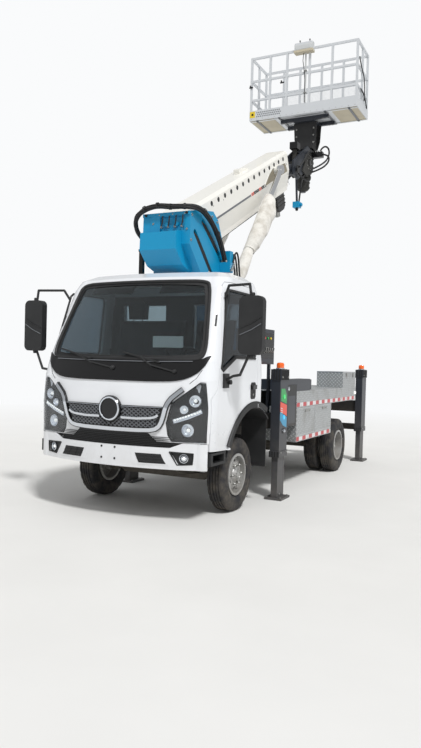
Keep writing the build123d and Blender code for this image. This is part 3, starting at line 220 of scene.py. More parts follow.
def tyre_rubber():
    """Tyre rubber: matt black crown, browner in patches of dried mud."""
    material, tree = finish("vulcanised rubber")
    spot = place(tree)
    mud = noise(tree, spot, 120, 6.0, 0.65)
    colour = two_tone(tree, blur_between(tree, mud, 0.42, 0.75), ink("27272A"), ink("5A544B"))
    fine = noise(tree, spot, 6, 3.0)
    bump = relief(tree, fine, 0.2, 0.002)
    close_up(tree, {
        "Base Color": colour, "Roughness": 0.82, "Normal": bump})
    return material


def woven(name, hex_text, dark_hex, thread_mm, sheen=0.3):
    """Woven cloth: crossing threads, a soft sheen and stains in patches."""
    material, tree = finish(name)
    spot = place(tree)
    warp = add(tree, "ShaderNodeTexWave", {"Vector": spot, "Scale": per_mm(thread_mm) / 6, "Distortion": 1.0},
               bands_direction="X")
    weft = add(tree, "ShaderNodeTexWave", {"Vector": spot, "Scale": per_mm(thread_mm) / 6, "Distortion": 1.0},
               bands_direction="Z")
    cross = add(tree, "ShaderNodeMath", {0: warp.outputs["Fac"], 1: weft.outputs["Fac"]},
                operation="MULTIPLY")
    stain = noise(tree, spot, 140, 5.0, 0.6)
    colour = two_tone(tree, blur_between(tree, stain, 0.45, 0.8), ink(hex_text), ink(dark_hex))
    bump = relief(tree, cross.outputs[0], 0.25, 0.001)
    close_up(tree, {
        "Base Color": colour, "Roughness": 0.9, "Sheen Weight": sheen, "Normal": bump})
    return material


def tape_red_white():
    """Retroreflective tape: red and white blocks of prismatic film, about 130 mm each."""
    material, tree = finish("prismatic tape")
    spot = add(tree, "ShaderNodeSeparateXYZ", {0: place(tree)})
    along = add(tree, "ShaderNodeMath", {0: spot.outputs["Y"], 1: per_mm(260)}, operation="MULTIPLY")
    turn = add(tree, "ShaderNodeMath", {0: along.outputs[0]}, operation="FRACT")
    block = add(tree, "ShaderNodeMath", {0: turn.outputs[0], 1: 0.5}, operation="GREATER_THAN")
    prism = add(tree, "ShaderNodeTexVoronoi", {"Vector": place(tree), "Scale": per_mm(12)})
    grime = noise(tree, place(tree), 110, 4.0)
    colour = two_tone(tree, block.outputs[0], ink("B9222A"), ink("D9D9DA"))
    colour = two_tone(tree, blur_between(tree, grime, 0.55, 0.9), colour, ink("8E8578"))
    bump = relief(tree, prism.outputs["Distance"], 0.2, 0.001)
    close_up(tree, {
        "Base Color": colour, "Roughness": 0.3, "Normal": bump})
    return material


def shaded_lens(name, hex_text, glow=0.0):
    """Coloured acrylic lens with ribs moulded behind it; a lit one glows a little."""
    material, tree = finish(name)
    ribs = add(tree, "ShaderNodeTexWave", {"Vector": place(tree), "Scale": per_mm(12) / 6},
               bands_direction="X")
    bump = relief(tree, ribs.outputs["Fac"], 0.3, 0.002)
    close_up(tree, {
        "Base Color": ink(hex_text), "Roughness": 0.12, "Coat Weight": 0.6, "Normal": bump,
        "Emission Color": ink(hex_text), "Emission Strength": glow})
    return material


WHITE_ENAMEL = sprayed("white two-pack enamel", "E6E8EB", 0.24, 0.5, dust=0.55)
BLUE_ENAMEL = sprayed("cyan blue machine enamel", "0590BF", 0.36, 0.1, dust=0.2)
CREAM_ENAMEL = sprayed("off-white machine enamel", "F1EFE8", 0.34, 0.3, dust=0.0)
CHARCOAL_COAT = sprayed("charcoal powder coat", "2C3038", 0.42, 0.1, dust=0.4, peel_mm=1.6, peel=0.06)
FRAME_BLACK = sprayed("black chassis paint", "141517", 0.5, 0.1, dust=0.7)
CAST_IRON = sprayed("painted cast iron", "33322F", 0.65, 0.0, dust=0.9, peel_mm=5.0, peel=0.25)
WHEEL_SILVER = sprayed("silver wheel lacquer", "B9BBBC", 0.35, 0.3, dust=1.1, metallic=0.6)
GLOSS_BLACK = sprayed("gloss black ABS", "060608", 0.25, 0.1, dust=0.05, peel=0.0)
SATIN_ALLOY = sprayed("silver-grey powder coat", "C9CBCB", 0.45, 0.0, dust=0.0)
BEIGE_MOULDING = moulded("beige moulded ABS", "C9BFA6")
BLACK_MOULDING = moulded("black moulded polypropylene", "121315")
SATIN_GREY = moulded("satin grey ABS", "6A6D72", roughness=0.4)
MIRROR_SILVER = bare_metal("silvered mirror glass", "E4E8EA", 0.05)
SOFT_BLACK = moulded("black hose rubber", "141416", roughness=0.6, grain_mm=4.0, grain=0.3)
DASH_MOULDING = moulded("dark grey dashboard ABS", "2B2C2F", roughness=0.6)
TREAD_PLATE = tread_plate()
ALUMINIUM = bare_metal("anodised aluminium", "D3D5D6", 0.36)
STEEL = bare_metal("zinc-plated steel", "A9A9A6", 0.38)
CHROME = bare_metal("hard chrome", "DCDDDF", 0.1)
TRIM_CHROME = bare_metal("chromed ABS", "D4D8DE", 0.1)
WINDSCREEN = glazing("laminated windscreen glass", "AEBBC0")
TINTED = glazing("tinted side glass", "65717A")
LENS = glazing("clear polycarbonate", "F2F5F8")
TYRE = tyre_rubber()
SEAT_CLOTH = woven("grey seat cloth", "34363B", "232428", 2.0)
CANVAS = woven("off-white canvas", "DDDAD3", "ABA498", 5.0)
PALE_ALLOY = sprayed("pale anodised aluminium", "D9DCDF", 0.4, 0.0, dust=0.0, metallic=0.25)
LINING = moulded("grey moulded cab lining", "3A3D42", roughness=0.75)
# Darker tan enamel used as painted shade on the floor of the pocket near the boom's end
POCKET_PAINTED_SHADE = sprayed("painted shade in the boom pocket", "8C8472", 0.5, 0.0, dust=0.0)
TAPE = tape_red_white()
AMBER = shaded_lens("amber acrylic", "E8641B", 0.15)
RED_LENS = shaded_lens("red acrylic", "B3161B")
GREEN_LIGHT = shaded_lens("green acrylic", "2FB25A", 0.8)
BLUE_LIGHT = shaded_lens("blue acrylic", "2BA4D8", 0.8)
WHITE_LIGHT = shaded_lens("white acrylic", "F4F4F0", 0.6)
GREEN_PLATE = sprayed("green printed vinyl", "1F9A4B", 0.4, 0.2)
RED_PLATE = sprayed("red printed vinyl", "E2492F", 0.4, 0.2)
BLUE_PLATE = sprayed("blue printed vinyl", "1F93BE", 0.4, 0.2)
YELLOW_PLATE = sprayed("yellow printed vinyl", "E3C62B", 0.4, 0.2)
PAPER = sprayed("white paper", "F3F3EF", 0.8, 0.0, dust=0.0)


# Building a piece
BOX_FACES = ((0, 1, 3, 2), (4, 6, 7, 5), (0, 4, 5, 1), (2, 3, 7, 6), (0, 2, 6, 4), (1, 5, 7, 3))
FINEST_RADIUS = 0.0004
SHARPEST_MITRE = 0.3
STRAIGHT = 1e-5


def block(bm, lo, hi, tone=0):
    x, y, z = zip(lo, hi)
    corners = [bm.verts.new(here(a, b, c)) for a in x for b in y for c in z]
    for ring in BOX_FACES:
        bm.faces.new([corners[i] for i in ring]).material_index = tone


def side_block(bm, side, across, along, rise, tone=0):
    """Block on one side of the truck, its reach across given as on the left."""
    near, far = sorted((side * across[0], side * across[1]))
    block(bm, (near, along[0], rise[0]), (far, along[1], rise[1]), tone)


def prism(bm, near, far, tone):
    """Solid between two outlines that have as many points."""
    faces = [bm.faces.new(near), bm.faces.new(far[::-1])]
    faces += [bm.faces.new(wall) for wall in zip(near, far, far[1:] + far[:1], near[1:] + near[:1])]
    for face in faces:
        face.material_index = tone


def pressed(bm, outline, axis, near, far, tone=0):
    """An outline pushed along an axis. Its points are the two other coordinates, in x, y, z order."""
    rings = []
    for depth in (near, far):
        points = [{"x": (depth, a, b), "y": (a, depth, b), "z": (a, b, depth)}[axis] for a, b in outline]
        rings.append([bm.verts.new(here(*point)) for point in points])
    prism(bm, *rings, tone)


def side_pressed(bm, side, outline, across, tone=0):
    """An outline of (y, z) points pushed sideways, its reach across given as on the left."""
    near, far = sorted((side * across[0], side * across[1]))
    pressed(bm, outline, "x", near, far, tone)


def square_to(direction):
    """Two directions square to one and to each other."""
    direction = Vector(direction).normalized()
    side = direction.cross(Vector((0, 0, 1)) if abs(direction.z) < 0.9 else Vector((1, 0, 0))).normalized()
    return direction, side, direction.cross(side)


def spoke(side, up, angle):
    return side * cos(angle) + up * sin(angle)


def join_rings(bm, rings, tone=0, closed=False, capped=True):
    """Faces from each ring of points to the next, and one over each open end."""
    for low, high in zip(rings, rings[1:] + (rings[:1] if closed else [])):
        for k in range(len(low)):
            j = (k + 1) % len(low)
            bm.faces.new((low[k], low[j], high[j], high[k])).material_index = tone
    if capped and not closed:
        for ring in (rings[0][::-1], rings[-1]):
            bm.faces.new(ring).material_index = tone


def lathe_rings(bm, profile, centre, axis, segments):
    """A ring of points for each (along, radius) point of a profile."""
    way, side, up = square_to(axis)
    start = here(*centre)
    return [[bm.verts.new(start + way * along
                          + spoke(side, up, 2 * pi * k / segments) * max(radius, FINEST_RADIUS))
             for k in range(segments)] for along, radius in profile]


def turned(bm, profile, centre, axis, segments=40, tone=0):
    """A profile of (along, radius) points turned about an axis through the centre."""
    join_rings(bm, lathe_rings(bm, profile, centre, axis, segments), tone)


def ring_round(bm, profile, centre, axis, segments=40, tone=0):
    """A closed profile of (along, radius) points turned into a ring."""
    join_rings(bm, lathe_rings(bm, profile, centre, axis, segments), tone, closed=True)


def tube(bm, route, radius, segments=10, tone=0, closed=False):
    """Round tube along straight runs, mitred at the corners."""
    points = [here(*p) for p in route]
    count = len(points)
    rings = []
    side = None
    for i, point in enumerate(points):
        before = points[i - 1] if i or closed else point - (points[1] - point)
        after = points[(i + 1) % count] if i < count - 1 or closed else point + (point - points[i - 1])
        incoming = (point - before).normalized()
        outgoing = (after - point).normalized()
        way = (incoming + outgoing).normalized()
        stretch = 1 / max(way.dot(incoming), SHARPEST_MITRE)
        if side is None:
            way, side, up = square_to(way)
        else:
            side = (side - way * side.dot(way)).normalized()
            up = way.cross(side)
        bend = outgoing - incoming
        bend = bend.normalized() if bend.length > STRAIGHT else None
        ring = []
        for k in range(segments):
            off = spoke(side, up, 2 * pi * k / segments) * radius
            if bend is not None:
                off += bend * off.dot(bend) * (stretch - 1)
            ring.append(bm.verts.new(point + off))
        rings.append(ring)
    join_rings(bm, rings, tone, closed)


def bolt(bm, centre, axis, radius, height, tone=0):
    """Hexagon head on a washer."""
    turned(bm, ((0, radius * 1.45), (height * 0.25, radius * 1.45)), centre, axis, 16, tone)
    start = Vector(centre) + Vector(axis).normalized() * height * 0.2
    turned(bm, ((0, radius), (height * 0.7, radius), (height * 0.8, radius * 0.8)), start, axis, 6, tone)


SHARP = radians(38)


def piece(name, bm, finishes, body, edge=0.0, replaced=()):
    """Closes a mesh, gives it its finishes and a body to ride on."""
    bmesh.ops.recalc_face_normals(bm, faces=bm.faces)
    for face in bm.faces:
        face.smooth = True
    for line in bm.edges:
        line.smooth = line.calc_face_angle(0) < SHARP
    mesh = bpy.data.meshes.new(name)
    bm.to_mesh(mesh)
    bm.free()
    for material in finishes if isinstance(finishes, (list, tuple)) else [finishes]:
        mesh.materials.append(material)
    made = bpy.data.objects.new(name, mesh)
    bpy.context.scene.collection.objects.link(made)
    if edge:
        rounding = made.modifiers.new("rounded edges", "BEVEL")
        rounding.width = edge
        rounding.segments = 2
        rounding.limit_method = "ANGLE"
        rounding.angle_limit = SHARP
        rounding.harden_normals = True
    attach(made, body)
    if replaced:
        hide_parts(*replaced)
    return made


def hose(name, route, radius, body):
    """Hose clipped to what carries it, on one smooth spline."""
    curve = bpy.data.curves.new(name, "CURVE")
    curve.dimensions = "3D"
    curve.bevel_depth = radius
    curve.bevel_resolution = 3
    curve.resolution_u = 8
    curve.use_fill_caps = True
    line = curve.splines.new("NURBS")
    line.points.add(len(route) - 1)
    for point, where in zip(line.points, route):
        point.co = (*here(*where), 1)
    line.order_u = 3
    line.use_endpoint_u = True
    curve.materials.append(SOFT_BLACK)
    made = bpy.data.objects.new(name, curve)
    bpy.context.scene.collection.objects.link(made)
    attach(made, body)
    return made


# Camera at the photographer's eye, which leans a little to one side
YAW, PITCH, ROLL = 0.464, -0.017, 0.026
EYE_PLACE = (3.846, -6.594, 1.574)
FOCAL_PIXELS = 679.571
PHOTO_HEIGHT = 748
SENSOR = 36.0
look = Vector((-sin(YAW) * cos(PITCH), cos(YAW) * cos(PITCH), sin(PITCH)))
level = Vector((cos(YAW), sin(YAW), 0))
lift = level.cross(look)
right = level * cos(ROLL) + lift * sin(ROLL)
up = lift * cos(ROLL) - level * sin(ROLL)
optics = bpy.data.cameras.new("eye")
optics.sensor_fit = "VERTICAL"
optics.sensor_height = SENSOR
optics.sensor_width = SENSOR
optics.lens = FOCAL_PIXELS / PHOTO_HEIGHT * SENSOR
optics.clip_end = 300
eye = bpy.data.objects.new("eye", optics)
eye.matrix_world = Matrix.Translation(here(*EYE_PLACE)) @ Matrix((
    (right.x, up.x, -look.x), (right.y, up.y, -look.y), (right.z, up.z, -look.z))).to_4x4()
bpy.context.scene.collection.objects.link(eye)
bpy.context.scene.camera = eye

# Studio: pale floor, soft sky all round and one broad lamp high on the left
scene = bpy.context.scene
scene.view_settings.view_transform = "Standard"
world = bpy.data.worlds.new("studio")
scene.world = world
world.use_nodes = True
sky = world.node_tree
sky.nodes.clear()
ray = add(sky, "ShaderNodeLightPath")
seen = add(sky, "ShaderNodeMath", {0: ray.outputs["Is Camera Ray"], 1: ray.outputs["Is Transmission Ray"]},
           operation="MAXIMUM")
level_seen = add(sky, "ShaderNodeMapRange", {"Value": seen.outputs[0], "To Min": 0.55, "To Max": 1.0})
shine = add(sky, "ShaderNodeMath", {0: ray.outputs["Is Glossy Ray"], 1: 0.05}, operation="MULTIPLY")
strength = add(sky, "ShaderNodeMath", {0: level_seen.outputs["Result"], 1: shine.outputs[0]},
               operation="SUBTRACT")
backdrop = add(sky, "ShaderNodeBackground", {"Color": ink("FAFBFC"), "Strength": strength.outputs[0]})
add(sky, "ShaderNodeOutputWorld", {"Surface": backdrop.outputs[0]})
lamp = bpy.data.lights.new("sun", "SUN")
lamp.energy = 2.5
lamp.angle = radians(8)
sun = bpy.data.objects.new("sun", lamp)
sun.rotation_euler = (radians(38), radians(8), radians(38))
scene.collection.objects.link(sun)
floor_mesh = bpy.data.meshes.new("floor")
FLOOR_REACH = 140
FLOOR_CORNERS = ((-1, -1), (1, -1), (1, 1), (-1, 1))
floor_mesh.from_pydata([(x * FLOOR_REACH, y * FLOOR_REACH, 0) for x, y in FLOOR_CORNERS], [], [(0, 1, 2, 3)])
floor_paint, tree = finish("pale studio floor")
mottle = noise(tree, place(tree), 900, 4.0)
plaster = add(tree, "ShaderNodeBsdfPrincipled", {
    "Base Color": two_tone(tree, mottle, ink("DCDBD8"), ink("E6E5E2")), "Roughness": 0.9})
distance = add(tree, "ShaderNodeVectorMath", {0: place(tree)}, operation="LENGTH")
fade = blur_between(tree, distance.outputs["Value"], 4.5, 16.0)
far_wall = add(tree, "ShaderNodeEmission", {"Color": ink("FAFBFC")})
sweep = add(tree, "ShaderNodeMixShader", {0: fade, 1: plaster.outputs[0], 2: far_wall.outputs[0]})
add(tree, "ShaderNodeOutputMaterial", {"Surface": sweep.outputs[0]})
floor_mesh.materials.append(floor_paint)
floor = bpy.data.objects.new("floor", floor_mesh)
scene.collection.objects.link(floor)

# Finishes of the CAD's solids, also of those that a piece stands for further on
SOLID_FINISHES = {
    WHEEL_SILVER: ("front_rim_left", "front_rim_right", "rear_rims_left", "rear_rims_right"),
    CAST_IRON: ("knuckle_left", "knuckle_right", "axles", "engine_block"),
    FRAME_BLACK: ("chassis_frame", "subframe", "slew_base"),
    WHITE_ENAMEL: ("cab_shell", "door_left", "door_right", "bumper"),
    WINDSCREEN: ("cab_glass",),
    TINTED: ("door_glass_left", "door_glass_right"),
    GLOSS_BLACK: ("grille",),
    LENS: ("lamps",),
    DASH_MOULDING: ("dashboard",),
    SEAT_CLOTH: ("seats",),
    BLACK_MOULDING: ("wheel_arches", "mirror_left", "mirror_right"),
    TREAD_PLATE: ("deck", "side_lockers"),
    CHARCOAL_COAT: ("control_cabinet", "boom_tip", "lift_barrels", "levelling_head", "basket_column"),
    TYRE: ("front_tyre_left", "front_tyre_right", "rear_tyres_left", "rear_tyres_right"),
    BLUE_ENAMEL: ("turret",),
    CREAM_ENAMEL: ("boom_base", "boom_inner"),
    CHROME: ("lift_rods",),
    CANVAS: ("cylinder_sleeves",),
    SOFT_BLACK: ("turret_hoses",),
    PALE_ALLOY: ("basket",),
}
CORNERS = (
    # name, y, side
    ("front_left", 0.89, 1),
    ("front_right", 0.89, -1),
    ("rear_left", 4.69, 1),
    ("rear_right", 4.69, -1),
)
SIDES = ((1, "left"), (-1, "right"))
for name, y, side in CORNERS:
    SOLID_FINISHES[CHARCOAL_COAT] += ("outrigger_beam_" + name, "outrigger_leg_" + name)
for material, names in SOLID_FINISHES.items():
    for name in names:
        for place_on in nodes[name].material_slots:
            place_on.material = material

# Points on curved panels: a plan outline is a bowed front between two round corners
CAB = (
    # z, front middle y, bow, half width, corner radius
    (0.700, -1.030, 0.095, 1.020, 0.130),
    (0.900, -1.050, 0.110, 1.028, 0.150),
    (1.130, -1.072, 0.120, 1.030, 0.160),
    (1.400, -1.035, 0.110, 1.030, 0.160),
    (1.585, -0.975, 0.110, 1.026, 0.160),
    (2.330, -0.650, 0.110, 0.958, 0.160),
    (2.440, -0.560, 0.100, 0.925, 0.160),
    (2.505, -0.400, 0.080, 0.820, 0.160),
)
BUMPER = (-1.105, 0.170, 1.012, 0.120)


def plan_point(front, bow, half, corner, s, z, out):
    """Point at distance s from the middle, measured round the corner, and out from the panel."""
    flat = half - corner
    side = 1 if s >= 0 else -1
    s = abs(s)
    if s <= flat:
        radius = (flat * flat + bow * bow) / (2 * bow)
        grow = 1 + out / radius
        return side * s * grow, front + radius - sqrt(radius * radius - s * s) * grow, z
    turn = min((s - flat) / corner, pi / 2)
    past = max(s - flat - corner * pi / 2, 0)
    reach = corner + out
    return side * (flat + reach * sin(turn)), front + bow + corner - reach * cos(turn) + past, z


def cab_level(z):
    for low, high in zip(CAB, CAB[1:]):
        if z <= high[0]:
            break
    share = (z - low[0]) / (high[0] - low[0])
    return [a + (b - a) * share for a, b in zip(low[1:], high[1:])]


def on_cab(s, z, out=0.0):
    return plan_point(*cab_level(z), s, z, out)


def on_bumper(s, z, out=0.0):
    return plan_point(*BUMPER, s, z, out)


def slab_on(bm, panel, rows, out, back, columns=16, tone=0):
    """Slab that follows a panel. Each row is (z, s at one end, s at the other)."""
    skins = []
    for depth in (out, back):
        skins.append([[bm.verts.new(here(*panel(a + (b - a) * k / columns, z, depth)))
                       for k in range(columns + 1)] for z, a, b in rows])
    faces = []
    for skin in skins:
        for low, high in zip(skin, skin[1:]):
            faces += [(low[k], low[k + 1], high[k + 1], high[k]) for k in range(columns)]
    for row in (0, -1):
        faces += [(skins[0][row][k], skins[0][row][k + 1], skins[1][row][k + 1], skins[1][row][k])
                  for k in range(columns)]
    for column in (0, -1):
        faces += [(skins[0][i][column], skins[0][i + 1][column], skins[1][i + 1][column], skins[1][i][column])
                  for i in range(len(rows) - 1)]
    for face in faces:
        bm.faces.new(face).material_index = tone


def finer(route, step, closed=False):
    """The same route with points no further apart than step."""
    ends = list(zip(route, route[1:])) + ([(route[-1], route[0])] if closed else [])
    points = []
    for a, b in ends:
        parts = max(1, ceil(hypot(*(q - p for p, q in zip(a, b))) / step))
        points += [tuple(p + (q - p) * k / parts for p, q in zip(a, b)) for k in range(parts)]
    return points if closed else points + [route[-1]]


def strip_on(bm, panel, route, width, out, back, tone=0, step=0.05):
    """Flat bar that follows a route of (s, z) points on a panel."""
    points = finer(route, step)
    rings = []
    for i, (s, z) in enumerate(points):
        before = points[max(i - 1, 0)]
        after = points[min(i + 1, len(points) - 1)]
        ds, dz = after[0] - before[0], after[1] - before[1]
        size = hypot(ds, dz)
        across = (-dz / size * width / 2, ds / size * width / 2)
        rings.append([bm.verts.new(here(*panel(s + sign * across[0], z + sign * across[1], depth)))
                      for sign, depth in ((1, out), (-1, out), (-1, back), (1, back))])
    join_rings(bm, rings, tone)


def facing(panel, s, z, depth):
    """A point at a depth behind a panel and the direction straight out of it."""
    near = Vector(panel(s, z, 0.0))
    far = Vector(panel(s, z, -0.05))
    way = (near - far).normalized()
    return tuple(near - way * depth), tuple(way)


# Windscreen seal with the dark border of the glass, a grey strip along its foot as painted highlight, and
# wipers
SCREEN = [(-0.835, 1.592), (0.835, 1.592), (0.905, 1.652), (0.792, 2.332), (0.732, 2.392), (-0.732, 2.392),
          (-0.792, 2.332), (-0.905, 1.652)]


def softened(points, times=3):
    """A closed outline with its corners cut again and again until they read as curves."""
    for _ in range(times):
        points = [tuple(p + (q - p) * share for p, q in zip(a, b))
                  for a, b in zip(points, points[1:] + points[:1]) for share in (0.25, 0.75)]
    return points


bm = bmesh.new()
SEAL = softened(finer(SCREEN, 0.35, closed=True))
tube(bm, [on_cab(s * 1.004, z, 0.004) for s, z in SEAL], 0.016, 8, closed=True)
SCREEN_MIDDLE = 1.992
BORDER_IN = softened([(s * 0.955, SCREEN_MIDDLE + (z - SCREEN_MIDDLE) * 0.915) for s, z in SCREEN], 4)
BORDER_OUT = softened([(s * 1.012, SCREEN_MIDDLE + (z - SCREEN_MIDDLE) * 1.012) for s, z in SCREEN], 4)
for depth in (-0.0035, -0.0085):
    rings = [[bm.verts.new(here(*on_cab(s, z, depth))) for s, z in line] for line in (BORDER_IN, BORDER_OUT)]
    join_rings(bm, rings, capped=False)
for side in (1, -1):
    strip_on(bm, on_cab, [(side * 0.935, 1.925), (side * 0.922, 2.045)], 0.02, 0.004, -0.004)
piece("windscreen_seal", bm, BLACK_MOULDING, "truck")
bm = bmesh.new()
# grey strip along the foot of the seal: a painted highlight
SEAL_HIGHLIGHT_LINE = [(-0.80, 1.578), (-0.40, 1.572), (0.0, 1.569), (0.45, 1.570), (0.80, 1.580)]
strip_on(bm, on_cab, SEAL_HIGHLIGHT_LINE, 0.008, 0.024, 0.010)
piece("seal_painted_highlight", bm, SATIN_GREY, "truck")

WIPERS = (
    # pivot, elbow and blade holder, then the two ends of the blade
    (((-0.030, 1.500), (-0.300, 1.552), (-0.545, 1.634)), ((-0.785, 1.683), (-0.318, 1.587))),
    (((0.640, 1.478), (0.400, 1.535), (0.270, 1.608)), ((0.060, 1.655), (0.480, 1.562))),
)
bm = bmesh.new()
for (pivot, elbow, holder), blade in WIPERS:
    route = [on_cab(*pivot, 0.030), on_cab(*elbow, 0.040), on_cab(*holder, 0.034)]
    tube(bm, route, 0.008, 8)
    spot, way = facing(on_cab, *pivot, -0.004)
    turned(bm, ((0, 0.024), (0.022, 0.022), (0.034, 0.012)), spot, way, 20)
    strip_on(bm, on_cab, blade, 0.014, 0.030, 0.020)
    strip_on(bm, on_cab, blade, 0.006, 0.022, 0.006)
piece("wipers", bm, BLACK_MOULDING, "truck")

# Blank papers on the dash, sun visors and head restraints
bm = bmesh.new()
block(bm, (0.237, -0.705, 1.711), (0.587, -0.700, 1.825))
for x0, x1, y0, y1 in ((-0.76, -0.44, -0.80, -0.70), (-0.30, -0.06, -0.78, -0.68)):
    block(bm, (x0, y0, 1.592), (x1, y1, 1.596))
for x0, x1 in ((0.22, 0.76), (-0.62, -0.12)):
    pressed(bm, [(-0.47, 2.395), (-0.45, 2.395), (-0.56, 2.27), (-0.575, 2.275)], "x", x0, x1, 1)
for x in (-0.54, 0.50):
    pressed(bm, [(x - 0.11, 2.06), (x + 0.11, 2.06), (x + 0.12, 2.24), (x + 0.07, 2.28), (x - 0.07, 2.28),
                 (x - 0.12, 2.24)], "y", 0.19, 0.27, 2)
    for post in (x - 0.06, x + 0.06):
        tube(bm, [(post, 0.215, 1.99), (post, 0.225, 2.10)], 0.007, 8, 1)
piece("cab_papers_and_visors", bm, [PAPER, DASH_MOULDING, SEAT_CLOTH], "truck", edge=0.002)

# Grille, band, badge disc and cowl, redrawn with the curved outlines that the solids leave straight
GRILLE_LOW = 0.884
GRILLE_HIGH = 1.140
BADGE_Z = 1.100
MESH_PITCH = 0.048
MESH_SLOPE = 1.3


def between(table, at):
    """Value of a table of (at, value) pairs, straight between its rows."""
    for (a, low), (b, high) in zip(table, table[1:]):
        if at <= b:
            break
    return low + (high - low) * max(0.0, min(1.0, (at - a) / (b - a)))


GRILLE_SIDE = ((0.884, 0.420), (0.900, 0.452), (0.930, 0.486), (0.970, 0.512), (1.030, 0.535), (1.090, 0.549),
               (1.140, 0.560))
COWL_LOW = ((0.0, 1.376), (0.400, 1.376), (0.600, 1.382), (0.700, 1.394), (0.780, 1.418), (0.850, 1.458),
            (0.905, 1.510), (0.940, 1.566), (0.962, 1.630))
COWL_HIGH = ((0.0, 1.586), (0.820, 1.586), (0.880, 1.600), (0.925, 1.628), (0.962, 1.640))


COWL_REACH = 0.962
COWL_COLUMNS = 56


def on_cab_turned(z, s, out=0.0):
    """The cab's panel for a slab whose rows run up it instead of across."""
    return on_cab(s, z, out)


bm = bmesh.new()
rows = [(z, -between(GRILLE_SIDE, z), between(GRILLE_SIDE, z))
        for z in [GRILLE_LOW + (GRILLE_HIGH - GRILLE_LOW) * k / 12 for k in range(13)]]
slab_on(bm, on_cab, rows, 0.006, -0.002, 24, 3)
rows = []
for k in range(COWL_COLUMNS + 1):
    s = -COWL_REACH + 2 * COWL_REACH * k / COWL_COLUMNS
    low = between(COWL_LOW, abs(s))
    rows.append((s, low, max(between(COWL_HIGH, abs(s)), low + 0.003)))
slab_on(bm, on_cab_turned, rows, 0.0115, -0.001, 5, 0)
BAND = [(0.745, 1.312), (0.700, 1.275), (0.640, 1.222), (0.606, 1.170), (0.584, 1.105), (0.566, 1.040),
        (0.548, 0.990), (0.524, 0.950), (0.486, 0.924), (0.430, 0.911), (0.300, 0.905), (0.0, 0.902)]
BAND = BAND + [(-s, z) for s, z in reversed(BAND[:-1])]
strip_on(bm, on_cab, BAND, 0.052, 0.024, -0.002, 0, 0.035)
strip_on(bm, on_cab, BAND, 0.036, 0.0275, 0.022, 2, 0.035)
strip_on(bm, on_cab, [(-0.56, 1.131), (0.56, 1.131)], 0.020, 0.020, -0.002, 0)
turned(bm, ((0, 0.128), (0.030, 0.128), (0.036, 0.122), (0.036, 0.112), (0.030, 0.106), (0.030, 0.0)),
       (0, -1.070, BADGE_Z), (0, -1, 0), 56, 0)
ring_round(bm, ((0.0, 0.100), (0.0045, 0.102), (0.0045, 0.114), (0.0, 0.118)),
           (0, -1.1062, BADGE_Z), (0, -1, 0), 56, 2)
BADGE_WING = ((0.126, 1.020), (0.300, 1.018), (0.440, 1.028), (0.490, 1.040), (0.520, 1.060))
for side in (1, -1):
    strip_on(bm, on_cab, [(side * s, z) for s, z in BADGE_WING], 0.022, 0.030, 0.010, 2, 0.03)
    strip_on(bm, on_cab, [(side * 0.124, 1.131), (side * 0.560, 1.134)], 0.006, 0.0225, 0.014, 2)
for lean in (1, -1):
    for k in range(-26, 27):
        stretch = []
        for step in range(11):
            z = GRILLE_LOW + 0.036 + (GRILLE_HIGH - GRILLE_LOW - 0.046) * step / 10
            s = k * MESH_PITCH + lean * (z - 1.01) * MESH_SLOPE
            clear = abs(s) < between(GRILLE_SIDE, z) - 0.012 and hypot(s, z - BADGE_Z) > 0.125
            if clear:
                stretch.append((s, z))
            if stretch and (not clear or step == 10):
                if len(stretch) > 1:
                    strip_on(bm, on_cab, [stretch[0], stretch[-1]], 0.007, 0.018, 0.004, 1)
                stretch = []
piece("front_grille", bm, [GLOSS_BLACK, SATIN_GREY, TRIM_CHROME, SOFT_BLACK], "truck",
      replaced=("grille",))

# Lining inside the cab: rear wall round its two windows, and the roof
bm = bmesh.new()
for x0, x1, z0, z1 in ((-0.96, 0.96, 1.160, 1.712), (-0.90, 0.90, 2.226, 2.330),
                       (-0.184, 0.184, 1.712, 2.226), (-0.94, -0.766, 1.712, 2.226),
                       (0.766, 0.94, 1.712, 2.226)):
    block(bm, (x0, 0.258, z0), (x1, 0.263, z1))
block(bm, (-0.78, -0.36, 2.440), (0.78, 0.16, 2.446))
piece("cab_lining", bm, LINING, "truck")

# Headlamps, fog lamps and tail lamps
LAMP_INNER = ((0.808, 0.640), (0.870, 0.600), (0.985, 0.585), (1.180, 0.640), (1.385, 0.905))
LAMP_CUT_Y = -0.900


def lamp_inner(z):
    return between(LAMP_INNER, z)


def lamp_outer(z):
    front, bow, half, corner = cab_level(z)
    lean = (front + bow + corner - LAMP_CUT_Y) / corner
    return half - corner + corner * acos(max(-1.0, min(1.0, lean))) - 0.004


def lamp_edge(z):
    """Outer end of the lamp's opening, always a little outside its inner end."""
    return max(lamp_outer(z), lamp_inner(z) + 0.012)


